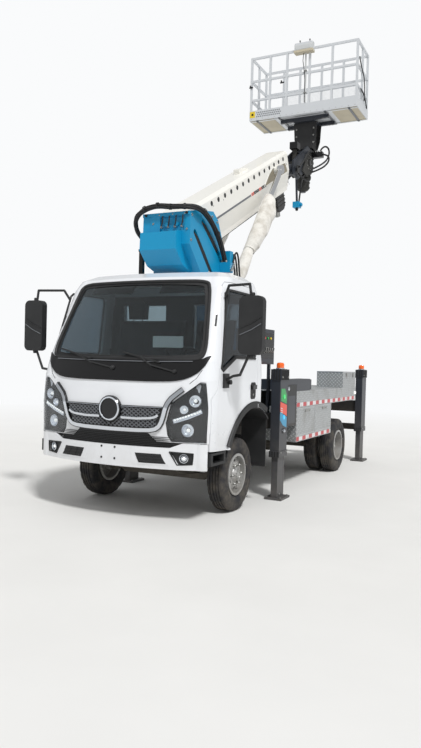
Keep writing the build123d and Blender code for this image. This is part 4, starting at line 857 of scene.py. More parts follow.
bm = bmesh.new()
lens = bmesh.new()
LAMP_LOW = 0.812
LAMP_TALL = 0.562
LAMP_RISE = [LAMP_LOW + LAMP_TALL * k / 12 for k in range(13)]
LIGHT_BAR = ((0.655, 1.002), (0.80, 1.050), (0.935, 1.112))
for side in (1, -1):
    rows = [(z, side * (lamp_inner(z) + 0.004), side * lamp_edge(z)) for z in LAMP_RISE]
    slab_on(bm, on_cab, rows, -0.036, -0.044, tone=0)
    slab_on(lens, on_cab, rows, -0.001, -0.004)
    walls = []
    for z in LAMP_RISE:
        x, y, _ = on_cab(side * lamp_edge(z), z, -0.002)
        walls.append(((x, y, z), (x - side * 0.085, y + 0.001, z)))
    for (near_low, deep_low), (near_high, deep_high) in zip(walls, walls[1:]):
        bm.faces.new([bm.verts.new(here(*p)) for p in (near_low, deep_low, deep_high, near_high)])
    brow = ((1.270, lamp_outer(1.270) - 0.003), (1.374, lamp_inner(1.374) + 0.006))
    slab_on(bm, on_cab, [(z, side * between(brow, z), side * max(lamp_outer(z), between(brow, z) + 0.001))
                         for z in (1.270, 1.296, 1.322, 1.348, 1.374)], -0.0045, -0.0075, tone=0)
    edge = [(side * (lamp_inner(z) + 0.006), z) for z in (0.812, 0.870, 0.985, 1.180, 1.374)]
    strip_on(bm, on_cab, edge, 0.008, -0.003, -0.040, tone=0)
    strip_on(bm, on_cab, [(side * s, z) for s, z in LIGHT_BAR], 0.040, -0.018, -0.040, tone=1)
    for k in range(10):
        share = (k + 0.5) / 10
        s = side * (0.66 + 0.27 * share)
        z = 1.008 + 0.10 * share
        strip_on(bm, on_cab, [(s - 0.009, z), (s + 0.009, z + 0.006)], 0.016, -0.012, -0.019, tone=2)
    for s, z, radius in ((0.865, 1.205, 0.056), (0.765, 1.120, 0.040), (0.80, 0.925, 0.060)):
        spot, way = facing(on_cab, side * s, z, 0.038)
        ring_round(bm, ((0.0, radius), (0.030, radius + 0.003), (0.033, radius), (0.012, radius * 0.78),
                        (0.004, radius * 0.45), (0.0, radius * 0.30)), spot, way, 36, tone=1)
        turned(bm, ((0.0, radius * 0.32), (0.014, radius * 0.30), (0.022, radius * 0.18), (0.024, 0)),
               spot, way, 24, tone=2)
    slab_on(bm, on_bumper, [(0.603, side * 0.725, side * 0.845), (0.712, side * 0.648, side * 0.852)],
            -0.016, -0.022)
    spot, way = facing(on_bumper, side * 0.775, 0.658, 0.018)
    ring_round(bm, ((0, 0.042), (0.014, 0.044), (0.016, 0.038), (0.002, 0.034)), spot, way, 32, tone=1)
    turned(bm, ((0, 0.036), (0.004, 0.020), (0.006, 0)), spot, way, 32, tone=1)
    turned(bm, ((0.004, 0.014), (0.012, 0.012), (0.015, 0)), spot, way, 24, tone=2)
    inner, outer = sorted((side * 0.640, side * 0.900))
    block(bm, (inner, 4.872, 0.505), (outer, 4.884, 0.595), 0)
    for k, tone in ((0, 3), (1, 4), (2, 3)):
        near = side * (0.646 + 0.083 * k)
        far = near + side * 0.081
        block(bm, (min(near, far), 4.880, 0.512), (max(near, far), 4.902, 0.588), tone)
piece("lamp_units", bm, [BLACK_MOULDING, TRIM_CHROME, WHITE_LIGHT, RED_LENS, AMBER], "truck",
      replaced=("lamps",))
piece("lamp_lenses", lens, LENS, "truck")

# Bumper: framed ribbed ducts, lamp surrounds and the mesh of the low intake
bm = bmesh.new()
VENT = ((0.692, 0.300, 0.560), (0.662, 0.312, 0.574), (0.632, 0.326, 0.590), (0.600, 0.342, 0.612))
for side in (1, -1):
    slab_on(bm, on_bumper, [(0.738, side * 0.245, side * 0.600), (0.585, side * 0.270, side * 0.640)], 0.0035,
            -0.003, 12, 1)
    slab_on(bm, on_bumper, [(z, side * a, side * b) for z, a, b in VENT], 0.0055, 0.002, 12)
    for z, near, far in VENT[:-1]:
        rib = [(side * (near + 0.012), z - 0.014), (side * (far + 0.002), z - 0.014)]
        strip_on(bm, on_bumper, rib, 0.008, 0.012, 0.004)
    for share in (0.33, 0.66):
        rib = [(side * (0.300 + 0.26 * share), 0.690), (side * (0.342 + 0.27 * share), 0.602)]
        strip_on(bm, on_bumper, rib, 0.006, 0.011, 0.004)
    surround = ((0.640, 0.717), (0.862, 0.708), (0.854, 0.606), (0.716, 0.596), (0.640, 0.717))
    strip_on(bm, on_bumper, [(side * s, z) for s, z in surround], 0.010, 0.004, -0.012)
for x in (-0.0775, 0.0775):
    for z in (0.619, 0.729):
        spot, way = facing(on_bumper, x, z, -0.0005)
        turned(bm, ((0, 0.011), (0.003, 0.011), (0.004, 0.007)), spot, way, 16)
slab_on(bm, on_bumper, [(0.735, -0.66, 0.66), (0.880, -0.66, 0.66)], -0.045, -0.055)
for k in range(6):
    strip_on(bm, on_bumper, [(-0.70, 0.768 + 0.016 * k), (0.70, 0.768 + 0.016 * k)], 0.005, -0.030, -0.047)
piece("bumper_ducts", bm, [BLACK_MOULDING, WHITE_ENAMEL], "truck")
# Panel seams at the ends of the cowl and under the lamps
bm = bmesh.new()
for side in (1, -1):
    for seam in (((0.905, 1.500), (0.860, 1.420), (0.800, 1.365)), ((0.925, 0.802), (0.985, 0.803))):
        strip_on(bm, on_cab, [(side * s, z) for s, z in seam], 0.005, 0.0012, -0.001)
piece("cab_seams", bm, BLACK_MOULDING, "truck")
# Dark lips on the wheel arches, part on the door and part on the cab: (radius, x) of the section
ARCH_LIP = ((0.6905, 1.038), (0.6905, 1.0478), (0.744, 1.0478), (0.752, 1.036), (0.752, 1.022))
ARCH_Y = 0.110
ARCH_Z = 0.420
ARCH_STEPS = 28
for side, word in SIDES:
    for body, first, last in (("truck", 63.5, 85.0), ("door_" + word, 86.2, 153.5)):
        bm = bmesh.new()
        angles = [radians(first + (last - first) * k / ARCH_STEPS) for k in range(ARCH_STEPS + 1)]
        rings = [[bm.verts.new(here(side * x, ARCH_Y + radius * cos(angle), ARCH_Z + radius * sin(angle)))
                  for radius, x in ARCH_LIP] for angle in angles]
        for ring, after in zip(rings, rings[1:]):
            for k in range(len(ARCH_LIP) - 1):
                bm.faces.new((ring[k], ring[k + 1], after[k + 1], after[k]))
        for ring in (rings[0], rings[-1]):
            bm.faces.new(ring)
        piece(body + "_arch_lip_" + word, bm, BLACK_MOULDING, body)

# Tyres with grooved treads and notched shoulders, in place of the plain ones
TYRE_R = 0.391
WHEELBASE = 3.366
AXLES = (
    # body, replaced node, side, tyre middles, y, face of the disc, end of the hub
    ("front_wheel_left", "front_tyre_left", 1, (0.809,), 0.0, 0.871, 0.905),
    ("front_wheel_right", "front_tyre_right", -1, (0.809,), 0.0, 0.871, 0.905),
    ("rear_wheel_left", "rear_tyres_left", 1, (0.941, 0.701), WHEELBASE, 0.834, 0.965),
    ("rear_wheel_right", "rear_tyres_right", -1, (0.941, 0.701), WHEELBASE, 0.834, 0.965),
)
WALL = (
    # along the axle from the tyre's middle, radius: bead to shoulder
    (0.0760, 0.2060), (0.0760, 0.2360), (0.0880, 0.2460), (0.0955, 0.2680), (0.0985, 0.2880),
    (0.1000, 0.2920), (0.0985, 0.2960), (0.0990, 0.3120), (0.0965, 0.3340), (0.0935, 0.3500),
    (0.0900, 0.3620), (0.0855, 0.3745), (0.0780, 0.3840),
)
CROWN = [(0.0700, 0.3870)]
for groove in (0.048, 0.016, -0.016, -0.048):
    CROWN += [(groove + off, radius) for off, radius in ((0.006, 0.3895), (0.004, 0.3800), (-0.004, 0.3800),
                                                         (-0.006, 0.3895))]
CROWN.append((-0.0700, 0.3870))
SECTION = list(WALL) + CROWN + [(-a, r) for a, r in reversed(WALL)]
TREAD_STEPS = 96
NOTCH = 0.007


def rubber_ring(bm, x, y):
    """One tyre, every fourth point of its shoulders drawn in to a notch."""
    rings = []
    for along, radius in SECTION:
        notched = radius > 0.35 and abs(along) > 0.065
        ring = []
        for k in range(TREAD_STEPS):
            reach = radius - (NOTCH if notched and k % 4 == 0 else 0.0)
            angle = 2 * pi * (k + 0.35 * along / 0.1) / TREAD_STEPS
            ring.append(bm.verts.new(here(x + along, y - reach * sin(angle), TYRE_R - reach * cos(angle))))
        rings.append(ring)
    join_rings(bm, rings, closed=True)


def round_hub(side, x, y, radius, angle):
    return side * x, y + radius * cos(angle), TYRE_R + radius * sin(angle)


NUTS = 6
NUT_CIRCLE = 0.109
HUB_BOLTS = 8
HUB_CIRCLE = 0.036
VALVE_CIRCLE = 0.205
for body, old, side, middles, y, disc_x, hub_x in AXLES:
    bm = bmesh.new()
    for x in middles:
        rubber_ring(bm, side * x, y)
    piece(old + "_tread", bm, TYRE, body, replaced=(old,))
    bm = bmesh.new()
    way = (side, 0, 0)
    for k in range(NUTS):
        spot = round_hub(side, disc_x, y, NUT_CIRCLE, 2 * pi * k / NUTS)
        turned(bm, ((0, 0.019), (0.004, 0.019)), spot, way, 16)
        turned(bm, ((0.003, 0.0145), (0.026, 0.0145), (0.031, 0.010)), spot, way, 6)
        turned(bm, ((0.030, 0.007), (0.044, 0.007), (0.046, 0.005)), spot, way, 10)
    ring_round(bm, ((0.0, 0.046), (0.004, 0.048), (0.004, 0.055), (0.0, 0.056)),
               (side * hub_x, y, TYRE_R), way, 36)
    for k in range(HUB_BOLTS):
        spot = round_hub(side, hub_x - 0.0005, y, HUB_CIRCLE, 2 * pi * (k + 0.5) / HUB_BOLTS)
        turned(bm, ((0, 0.006), (0.006, 0.006), (0.007, 0.004)), spot, way, 6)
    for angle in (0.4, 3.3):
        spot = round_hub(side, middles[0] + 0.078, y, VALVE_CIRCLE, angle)
        turned(bm, ((0, 0.004), (0.030, 0.003), (0.034, 0.002)), spot, way, 8)
    piece(body + "_nuts", bm, STEEL, body, edge=0.001)

# Mirrors: grooved shells with the glass let into their rear faces
MIRROR_X = 1.312
for side, word in SIDES:
    body = "door_" + word
    bm = bmesh.new()
    for drop in (0.0, 0.062):
        route = [(side * 1.205, -0.7235, 1.905 - drop), (side * 1.32, -0.7235, 1.952 - drop),
                 (side * 1.42, -0.7235, 2.010 - drop)]
        tube(bm, route, 0.0045, 6, 1 if drop else 0)
    middle = side * MIRROR_X
    for low, high in ((1.86, 2.185), (1.68, 1.84)):
        block(bm, (middle - 0.105, -0.6385, low), (middle + 0.105, -0.6365, high), 2)
    block(bm, (middle - 0.112, -0.6395, 1.672), (middle + 0.112, -0.6380, 2.192), 0)
    tube(bm, [(side * 1.040, -0.598, 1.385), (side * 1.075, -0.60, 1.388)], 0.024, 14, 0)
    turned(bm, ((0, 0.020), (0.030, 0.024), (0.046, 0.018)), (middle, -0.68, 1.627), (0, 0, 1), 16, 0)
    turned(bm, ((0, 0.018), (0.030, 0.024), (0.046, 0.020)), (middle, -0.68, 2.198), (0, 0, 1), 16, 0)
    piece(body + "_mirror_trim", bm, [BLACK_MOULDING, SATIN_GREY, MIRROR_SILVER], body,
          edge=0.001)


# Doors: window frame line, handle and lock
def flank(side, y, z, out):
    """Point on the cab's side at one height, out from the panel."""
    return side * (cab_level(z)[2] + out), y, z


WINDOW = ((-0.731, 1.522), (-0.706, 1.506), (-0.400, 1.640), (0.090, 1.640), (0.118, 1.670), (0.118, 2.270),
          (0.090, 2.300), (-0.465, 2.300), (-0.505, 2.270))
WAIST = ((-0.700, 1.493), (-0.395, 1.626), (0.100, 1.626))
HANDLE_CUP = ((-0.015, 1.215), (-0.020, 1.345), (0.005, 1.375), (0.100, 1.375), (0.122, 1.350),
              (0.118, 1.225), (0.100, 1.200), (0.005, 1.198))
HANDLE = ((0.000, 1.300), (0.000, 1.345), (0.102, 1.348), (0.102, 1.303))
for side, word in SIDES:
    body = "door_" + word
    bm = bmesh.new()
    frame_line = [flank(side, y, z, 0.001) for y, z in finer(WINDOW, 0.1, closed=True)]
    tube(bm, frame_line, 0.012, 8, closed=True)
    tube(bm, [flank(side, y, z, 0.004) for y, z in WAIST], 0.011, 8)
    side_pressed(bm, side, HANDLE_CUP, (1.026, 1.033))
    side_pressed(bm, side, HANDLE, (1.030, 1.056), 1)
    turned(bm, ((0, 0.012), (0.004, 0.012), (0.005, 0.008)), (side * 1.033, 0.052, 1.245), (side, 0, 0),
           16, 2)
    # a stray disc, 28 mm clear of the cab's corner, which nothing needs
    tube(bm, [flank(side, -0.884, 1.0, -0.004), flank(side, -0.884, 1.0, -0.003)], 0.003, 6)
    piece(body + "_trim", bm, [BLACK_MOULDING, GLOSS_BLACK, STEEL], body, edge=0.0015)

# Outriggers: ribbed caps, beacons, coloured panels with their lamps, feet and hoses
POST_INSIDE = 1.0695
POST_X = 1.0705
CAP_RISE = (1.392, 1.508)
COLLAR_RISE = (0.500, 0.560)
PATCHES = (
    # tone, then an outline whose y is measured from the post's front edge
    (3, ((0.030, 1.290), (0.150, 1.290), (0.215, 1.210), (0.215, 1.110), (0.030, 1.150))),
    (4, ((0.010, 1.140), (0.225, 1.095), (0.225, 0.965), (0.010, 1.030))),
    (5, ((0.010, 1.020), (0.225, 0.955), (0.225, 0.830), (0.110, 0.860), (0.010, 0.930))),
)
LEG_HOSES = (
    # x, y past the middle of the post, z
    ((0.990, 0.126, 1.30), (0.990, 0.150, 1.30), (0.975, 0.158, 1.10), (0.960, 0.150, 0.99),
     (0.960, 0.126, 0.96)),
    ((0.990, 0.126, 1.26), (0.992, 0.140, 1.26), (0.988, 0.146, 0.90), (0.988, 0.126, 0.86)),
)


def post_plate(bm, side, front, outline, out, tone):
    """Flat panel on the outer side of a post, its y measured from the post's front edge."""
    side_pressed(bm, side, [(front + a, z) for a, z in outline], (POST_INSIDE, POST_X + out), tone)


for name, y, side in CORNERS:
    beam = "outrigger_beam_" + name
    leg = "outrigger_leg_" + name
    bm = bmesh.new()
    front = y - 0.125
    for across in ((0.945, 0.952), (1.0785, 1.0845)):
        for k in range(7):
            at = y - 0.115 + 0.036 * k
            side_block(bm, side, across, (at, at + 0.016), CAP_RISE)
    for k in range(4):
        x = side * (0.962 + 0.032 * k)
        for at in (y - 0.139, y + 0.133):
            for low, high in (CAP_RISE, COLLAR_RISE):
                block(bm, (x - 0.007, at, low), (x + 0.007, at + 0.006, high), 0)
    middle = side * 1.014
    block(bm, (middle - 0.064, y - 0.06, 1.5145), (middle + 0.064, y + 0.06, 1.519), 0)
    turned(bm, ((0, 0.050), (0.012, 0.050), (0.014, 0.044)), (middle, y, 1.519), (0, 0, 1), 32, 1)
    turned(bm, ((0, 0.043), (0.020, 0.045), (0.045, 0.044), (0.060, 0.034), (0.064, 0.0)), (middle, y, 1.532),
           (0, 0, 1), 32, 2)
    if name.startswith("front"):
        for tone, outline in PATCHES:
            post_plate(bm, side, front, outline, 0.0015, tone)
        for z, tone in ((1.195, 6), (0.955, 7)):
            turned(bm, ((0, 0.028), (0.005, 0.028), (0.007, 0.024), (0.010, 0.012), (0.011, 0)),
                   (side * POST_X, front + 0.130, z), (side, 0, 0), 24, tone)
        socket = ((0.082, 0.768), (0.160, 0.768), (0.160, 0.828), (0.082, 0.828))
        post_plate(bm, side, front, socket, 0.003, 0)
        turned(bm, ((0, 0.020), (0.014, 0.020), (0.020, 0.014), (0.024, 0.014)),
               (side * POST_X, front + 0.121, 0.798), (side, 0, 0), 20, 1)
        for k in range(3):
            z = 1.075 - 0.024 * k
            bar = ((0.022, z), (0.088, z - 0.016), (0.088, z - 0.026), (0.022, z - 0.010))
            post_plate(bm, side, front, bar, 0.0022, 1)
    for z in (1.425, 0.550):
        for at in (y - 0.085, y + 0.085):
            turned(bm, ((0, 0.011), (0.006, 0.011), (0.008, 0.007)), (side * 1.0785, at, z), (side, 0, 0),
                   6, 8)
    for run in LEG_HOSES:
        tube(bm, [(side * x, y + past, z) for x, past, z in run], 0.011, 10, 9)
    piece(beam + "_trim", bm, [BLACK_MOULDING, TRIM_CHROME, AMBER, GREEN_PLATE, RED_PLATE, BLUE_PLATE,
                               GREEN_LIGHT, BLUE_LIGHT, STEEL, SOFT_BLACK], beam, edge=0.0008)
    bm = bmesh.new()
    turned(bm, ((0, 0.012), (0.006, 0.012), (0.008, 0.008)), (side * 1.054, y - 0.04, 0.060), (side, 0, 0), 6)
    for sx in (-0.085, 0.085):
        for sy in (-0.115, 0.115):
            bolt(bm, (middle + sx, y + sy, 0.026), (0, 0, 1), 0.009, 0.010)
    piece(leg + "_bolts", bm, STEEL, leg)

# Control panels behind the front posts: handle knobs and hinges
PANEL_X = 1.050
bm = bmesh.new()
for side in (1, -1):
    turned(bm, ((0, 0.026), (0.012, 0.026), (0.018, 0.016), (0.020, 0.0)), (side * PANEL_X, 1.075, 1.285),
           (side, 0, 0), 20, 1)
    turned(bm, ((0, 0.012), (0.016, 0.012), (0.018, 0.008)), (side * PANEL_X, 1.355, 1.10),
           (side, 0, 0), 16, 1)
    for z in (0.90, 1.22):
        side_block(bm, side, (PANEL_X, 1.055), (1.036, 1.060), (z, z + 0.06))
    side_block(bm, side, (PANEL_X, 1.0515), (1.080, 1.340), (0.862, 1.195))
piece("side_panel_fittings", bm, [CHARCOAL_COAT, TRIM_CHROME], "truck", edge=0.001)

# Deck: marking tape, locker doors, latches, rails and grab edges
bm = bmesh.new()
for side in (1, -1):
    side_block(bm, side, (PANEL_X, 1.0512), (1.400, 4.190), (1.050, 1.100))
    side_block(bm, side, (PANEL_X, 1.0512), (1.410, 2.870), (0.622, 0.672))
for x0, x1 in ((-1.04, -0.20), (0.20, 1.04)):
    block(bm, (x0, 4.2000, 1.050), (x1, 4.2012, 1.100), 0)
piece("marking_tape", bm, TAPE, "truck")
bm = bmesh.new()
for side in (1, -1):
    way = (side, 0, 0)
    for y0, y1 in ((1.425, 2.130), (2.145, 2.860)):
        for along, rise in (((y0, y0 + 0.008), (0.690, 1.030)), ((y1 - 0.008, y1), (0.690, 1.030)),
                            ((y0, y1), (0.690, 0.698)), ((y0, y1), (1.022, 1.030))):
            side_block(bm, side, (PANEL_X, 1.0530), along, rise, 1)
        middle = (y0 + y1) / 2
        side_block(bm, side, (PANEL_X, 1.0600), (middle - 0.055, middle + 0.055), (0.975, 1.005), 2)
        turned(bm, ((0, 0.018), (0.006, 0.018), (0.010, 0.012)), (side * PANEL_X, middle + 0.12, 0.990),
               way, 20, 2)
    for k in range(12):
        spot = (side * PANEL_X, 1.44 + 0.245 * k, 1.215)
        turned(bm, ((0, 0.008), (0.003, 0.007), (0.004, 0.0)), spot, way, 10, 2)
    side_block(bm, side, (0.64, 1.052), (3.455, 4.185), (1.472, 1.484), 1)
    for at in (3.62, 4.00):
        side_block(bm, side, (PANEL_X, 1.0600), (at, at + 0.05), (1.400, 1.462), 2)
    side_block(bm, side, (0.900, 1.048), (1.395, 1.900), (1.2455, 1.395), 4)
    side_block(bm, side, (0.950, 1.048), (1.032, 1.395), (1.3305, 1.395), 4)
    turned(bm, ((0, 0.024), (0.014, 0.024), (0.022, 0.016), (0.024, 0)), (side * PANEL_X, 4.150, 1.150),
           way, 20, 3)
block(bm, (0.476, 1.556, 1.2455), (0.934, 2.304, 1.378), 4)
turned(bm, ((0, 0.035), (0.012, 0.035), (0.030, 0.022), (0.034, 0.0)), (0.70, 1.70, 1.378), (0, 0, 1), 24, 2)
for at in (1.70, 2.16):
    block(bm, (0.925, at, 1.30), (0.938, at + 0.06, 1.365), 2)
piece("deck_fittings", bm, [TREAD_PLATE, ALUMINIUM, STEEL, WHITE_LIGHT, CHARCOAL_COAT], "truck",
      edge=0.001)

# Control cabinet on its posts: door, hinges, lock, levers and buttons
bm = bmesh.new()
block(bm, (0.615, 0.514, 1.590), (0.890, 0.520, 1.955), 0)
for z in (1.66, 1.88):
    block(bm, (0.606, 0.508, z), (0.622, 0.520, z + 0.05), 1)
turned(bm, ((0, 0.016), (0.010, 0.016), (0.014, 0.010)), (0.865, 0.514, 1.77), (0, -1, 0), 20, 1)
block(bm, (0.905, 0.560, 1.640), (0.910, 0.910, 1.930), 2)
for k in range(5):
    y = 0.620 + 0.06 * k
    tube(bm, [(0.908, y, 1.70), (0.935, y, 1.72), (0.944, y, 1.76)], 0.005, 8, 1)
for k, tone in ((0, 3), (1, 4), (2, 5)):
    turned(bm, ((0, 0.014), (0.008, 0.014), (0.012, 0.008)), (0.910, 0.640 + 0.09 * k, 1.87),
           (1, 0, 0), 16, tone)
piece("cabinet_fittings", bm, [CHARCOAL_COAT, STEEL, GLOSS_BLACK, RED_PLATE, GREEN_PLATE, YELLOW_PLATE],
      "truck", edge=0.001)

# Turret: hose bundle over the top, hoses in the slots, fittings, motor box and guard posts
BUNDLE = (
    (-0.300, 0.060, 2.960), (-0.400, 0.060, 2.960), (-0.455, 0.000, 3.070), (-0.410, -0.090, 3.190),
    (-0.250, -0.145, 3.262), (-0.080, -0.155, 3.286), (0.080, -0.152, 3.262), (0.250, -0.135, 3.258),
    (0.345, -0.050, 3.262), (0.356, 0.120, 3.245), (0.356, 0.300, 3.170), (0.356, 0.460, 3.060),
    (0.356, 0.600, 2.920), (0.356, 0.690, 2.760),
)
HOSES_IN_BUNDLE = 6
BUNDLE_HOSE = 0.0105


def strand(route, reach, phase, twist=0.5):
    """One hose of a bundle, wound slowly round the middle line."""
    points = []
    for i, middle in enumerate(route):
        before = Vector(route[max(i - 1, 0)])
        after = Vector(route[min(i + 1, len(route) - 1)])
        way, side, up = square_to(after - before)
        points.append(tuple(Vector(middle) + spoke(side, up, phase + twist * i) * reach))
    return points


for k in range(HOSES_IN_BUNDLE):
    route = strand(BUNDLE, 0.021, 2 * pi * k / HOSES_IN_BUNDLE)
    made = hose("bundle_hose_%d" % k, route, BUNDLE_HOSE, "turret")
    if k == 0:
        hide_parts("turret_hoses")
hose("bundle_hose_core", BUNDLE, BUNDLE_HOSE, "turret")
bm = bmesh.new()
for point, way in (((-0.250, -0.145, 3.262), (0.95, -0.2, 0.3)),
                   ((-0.080, -0.155, 3.286), (1, 0, 0)), ((0.080, -0.152, 3.262), (1, 0, -0.1)),
                   ((0.250, -0.135, 3.258), (1, 0.4, 0)), ((0.356, 0.120, 3.245), (0, 1, -0.25)),
                   ((0.356, 0.460, 3.060), (0, 0.7, -0.6))):
    ring_round(bm, ((-0.012, 0.031), (-0.012, 0.0345), (0.012, 0.0345), (0.012, 0.031)), point, way, 20)
block(bm, (0.3005, 0.650, 2.640), (0.440, 0.735, 2.760), 3)
for k in range(5):
    turned(bm, ((0, 0.014), (0.016, 0.014), (0.018, 0.010), (0.030, 0.010)),
           (0.325 + 0.027 * (k % 3), 0.672 + 0.040 * (k // 3), 2.760), (0, 0, 1), 6, 2)
    turned(bm, ((0, 0.013), (0.022, 0.013), (0.026, 0.009)), (0.440, 0.662 + 0.016 * k, 2.660 + 0.020 * k),
           (1, 0, 0), 6, 2)
for dy in (-0.030, 0.0, 0.030):
    turned(bm, ((0, 0.013), (0.030, 0.013), (0.034, 0.010)), (-0.300, 0.060 + dy, 2.960), (-1, 0, 0), 6, 2)
piece("hose_clamps", bm, [BLACK_MOULDING, CHARCOAL_COAT, STEEL, BLUE_ENAMEL], "turret",
      edge=0.001)

# Three hoses that leave the fitting block in an arch and come back low on the turret's side
for k in range(3):
    lane = 0.376 + 0.023 * k
    far = 0.02 * k
    back = 0.03 * k
    hose("loop_hose_%d" % k, (
        (lane, 0.735, 2.700), (lane, 0.770, 2.760), (lane, 0.800 + 0.01 * k, 2.850 + 0.02 * k),
        (lane, 0.860 + far, 2.850 + 0.03 * k), (lane, 0.920 + far, 2.700), (lane, 0.955 + far, 2.500),
        (lane, 0.900, 2.360), (lane, 0.790, 2.290), (0.345, 0.700 - back, 2.265),
        (0.3005, 0.670 - back, 2.260)),
        0.011, "turret")

SLOT_RUNS = (
    # upper end and lower end of the middle line, y and z
    ((0.020, 3.004), (0.464, 2.588)),
    ((0.204, 3.150), (0.634, 2.845)),
)
SLOT_LANES = [-0.021 + 0.014 * k for k in range(4)]
SLOT_BOW = ((0.0, 0.0), (0.12, 0.026), (0.5, 0.036), (0.88, 0.026), (1.0, 0.0))
for side, word in SIDES:
    bm = bmesh.new()
    for top, foot in SLOT_RUNS:
        run = Vector((foot[0] - top[0], foot[1] - top[1])).normalized()
        across = Vector((-run[1], run[0]))
        corners = ((top, -0.031), (foot, -0.031), (foot, 0.031), (top, 0.031))
        outline = [(at[0] + across[0] * shift, at[1] + across[1] * shift) for at, shift in corners]
        side_pressed(bm, side, outline, (0.2565, 0.2575))
        for shift in SLOT_LANES:
            route = []
            for share, bow in SLOT_BOW:
                y = top[0] + (foot[0] - top[0]) * share + across[0] * shift
                z = top[1] + (foot[1] - top[1]) * share + across[1] * shift
                route.append((side * (0.264 + bow), y, z))
            tube(bm, route, 0.0074, 8, 0)
        for share in (0.06, 0.94):
            y = top[0] + (foot[0] - top[0]) * share
            z = top[1] + (foot[1] - top[1]) * share
            for shift in SLOT_LANES:
                turned(bm, ((0, 0.0085), (0.016, 0.0085), (0.018, 0.006)),
                       (side * 0.264, y + across[0] * shift, z + across[1] * shift), (side, 0, 0), 6, 1)
    for y, z in ((0.430, 3.255), (0.560, 3.215), (0.690, 2.980), (-0.060, 3.180), (-0.070, 2.905),
                 (0.380, 2.610), (0.560, 2.520), (0.640, 2.350)):
        bolt(bm, (side * 0.300, y, z), (side, 0, 0), 0.011, 0.012, 1)
    piece("slot_hoses_" + word, bm, [SOFT_BLACK, STEEL, BLUE_ENAMEL], "turret")

bm = bmesh.new()
for k in range(4):
    x = -0.050 + 0.085 * k
    turned(bm, ((0, 0.013), (0.020, 0.013), (0.022, 0.009), (0.034, 0.009)), (x, -0.098, 3.045),
           (0, -1, 0.2), 6, 0)
    tube(bm, [(x, -0.120, 3.047), (x + 0.015, -0.124, 3.10), (x + 0.018, -0.122, 3.172)], 0.008, 8, 1)
for x, z in ((-0.085, 3.19), (0.085, 3.19), (0.235, 3.19), (-0.165, 3.10), (0.262, 3.02)):
    bolt(bm, (x, -0.100, z), (0, -1, 0), 0.009, 0.010, 0)
block(bm, (-0.300, -0.106, 3.176), (0.300, -0.100, 3.214), 2)
turned(bm, ((0, 0.016), (0.012, 0.016), (0.016, 0.012)), (-0.255, -0.106, 3.195), (0, -1, 0), 20, 3)
turned(bm, ((0, 0.016), (0.012, 0.016), (0.016, 0.012)), (0.262, -0.106, 3.195), (0, -1, 0), 20, 3)
block(bm, (-0.362, -0.045, 2.905), (-0.301, 0.045, 2.990), 3)
for y in (-0.020, 0.305):
    block(bm, (-0.395, y, 2.545), (-0.345, y + 0.045, 2.830), 3)
block(bm, (-0.397, -0.030, 2.815), (-0.3005, 0.360, 2.842), 3)
block(bm, (-0.393, -0.020, 2.545), (-0.347, 0.350, 2.565), 3)
piece("turret_fittings", bm, [STEEL, SOFT_BLACK, BLUE_ENAMEL, GLOSS_BLACK], "turret",
      edge=0.001)

# Bolts round the slewing ring
RING_BOLTS = 28
RING_CIRCLE = 0.300
SLEW_Y = 1.200
RING_TOP = 1.405
bm = bmesh.new()
for k in range(RING_BOLTS):
    angle = 2 * pi * k / RING_BOLTS
    spot = (RING_CIRCLE * cos(angle), SLEW_Y + RING_CIRCLE * sin(angle), RING_TOP)
    bolt(bm, spot, (0, 0, 1), 0.010, 0.012)
piece("ring_bolts", bm, STEEL, "turret")

# Boom: strips, stripes, dark hole plugs, painted shade on the floor of the pocket near its end, and the motor
# under it
BOOM_RISE = radians(26.8)
BOOM_DIR = (0.0, cos(BOOM_RISE), sin(BOOM_RISE))
BOOM_UP = (0.0, -sin(BOOM_RISE), cos(BOOM_RISE))


def on_boom(x, u, w):
    return x, 0.300 + u * BOOM_DIR[1] + w * BOOM_UP[1], 3.060 + u * BOOM_DIR[2] + w * BOOM_UP[2]


def boom_plate(bm, outline, near, far, tone):
    """Outline of (u, w) points on the boom, pushed sideways from x near to x far."""
    prism(bm, *[[bm.verts.new(here(*on_boom(x, u, w))) for u, w in outline] for x in (near, far)], tone)


def bar(along, across):
    """Corners of an upright rectangle on the boom."""
    return [(along[0], across[0]), (along[1], across[0]), (along[1], across[1]), (along[0], across[1])]


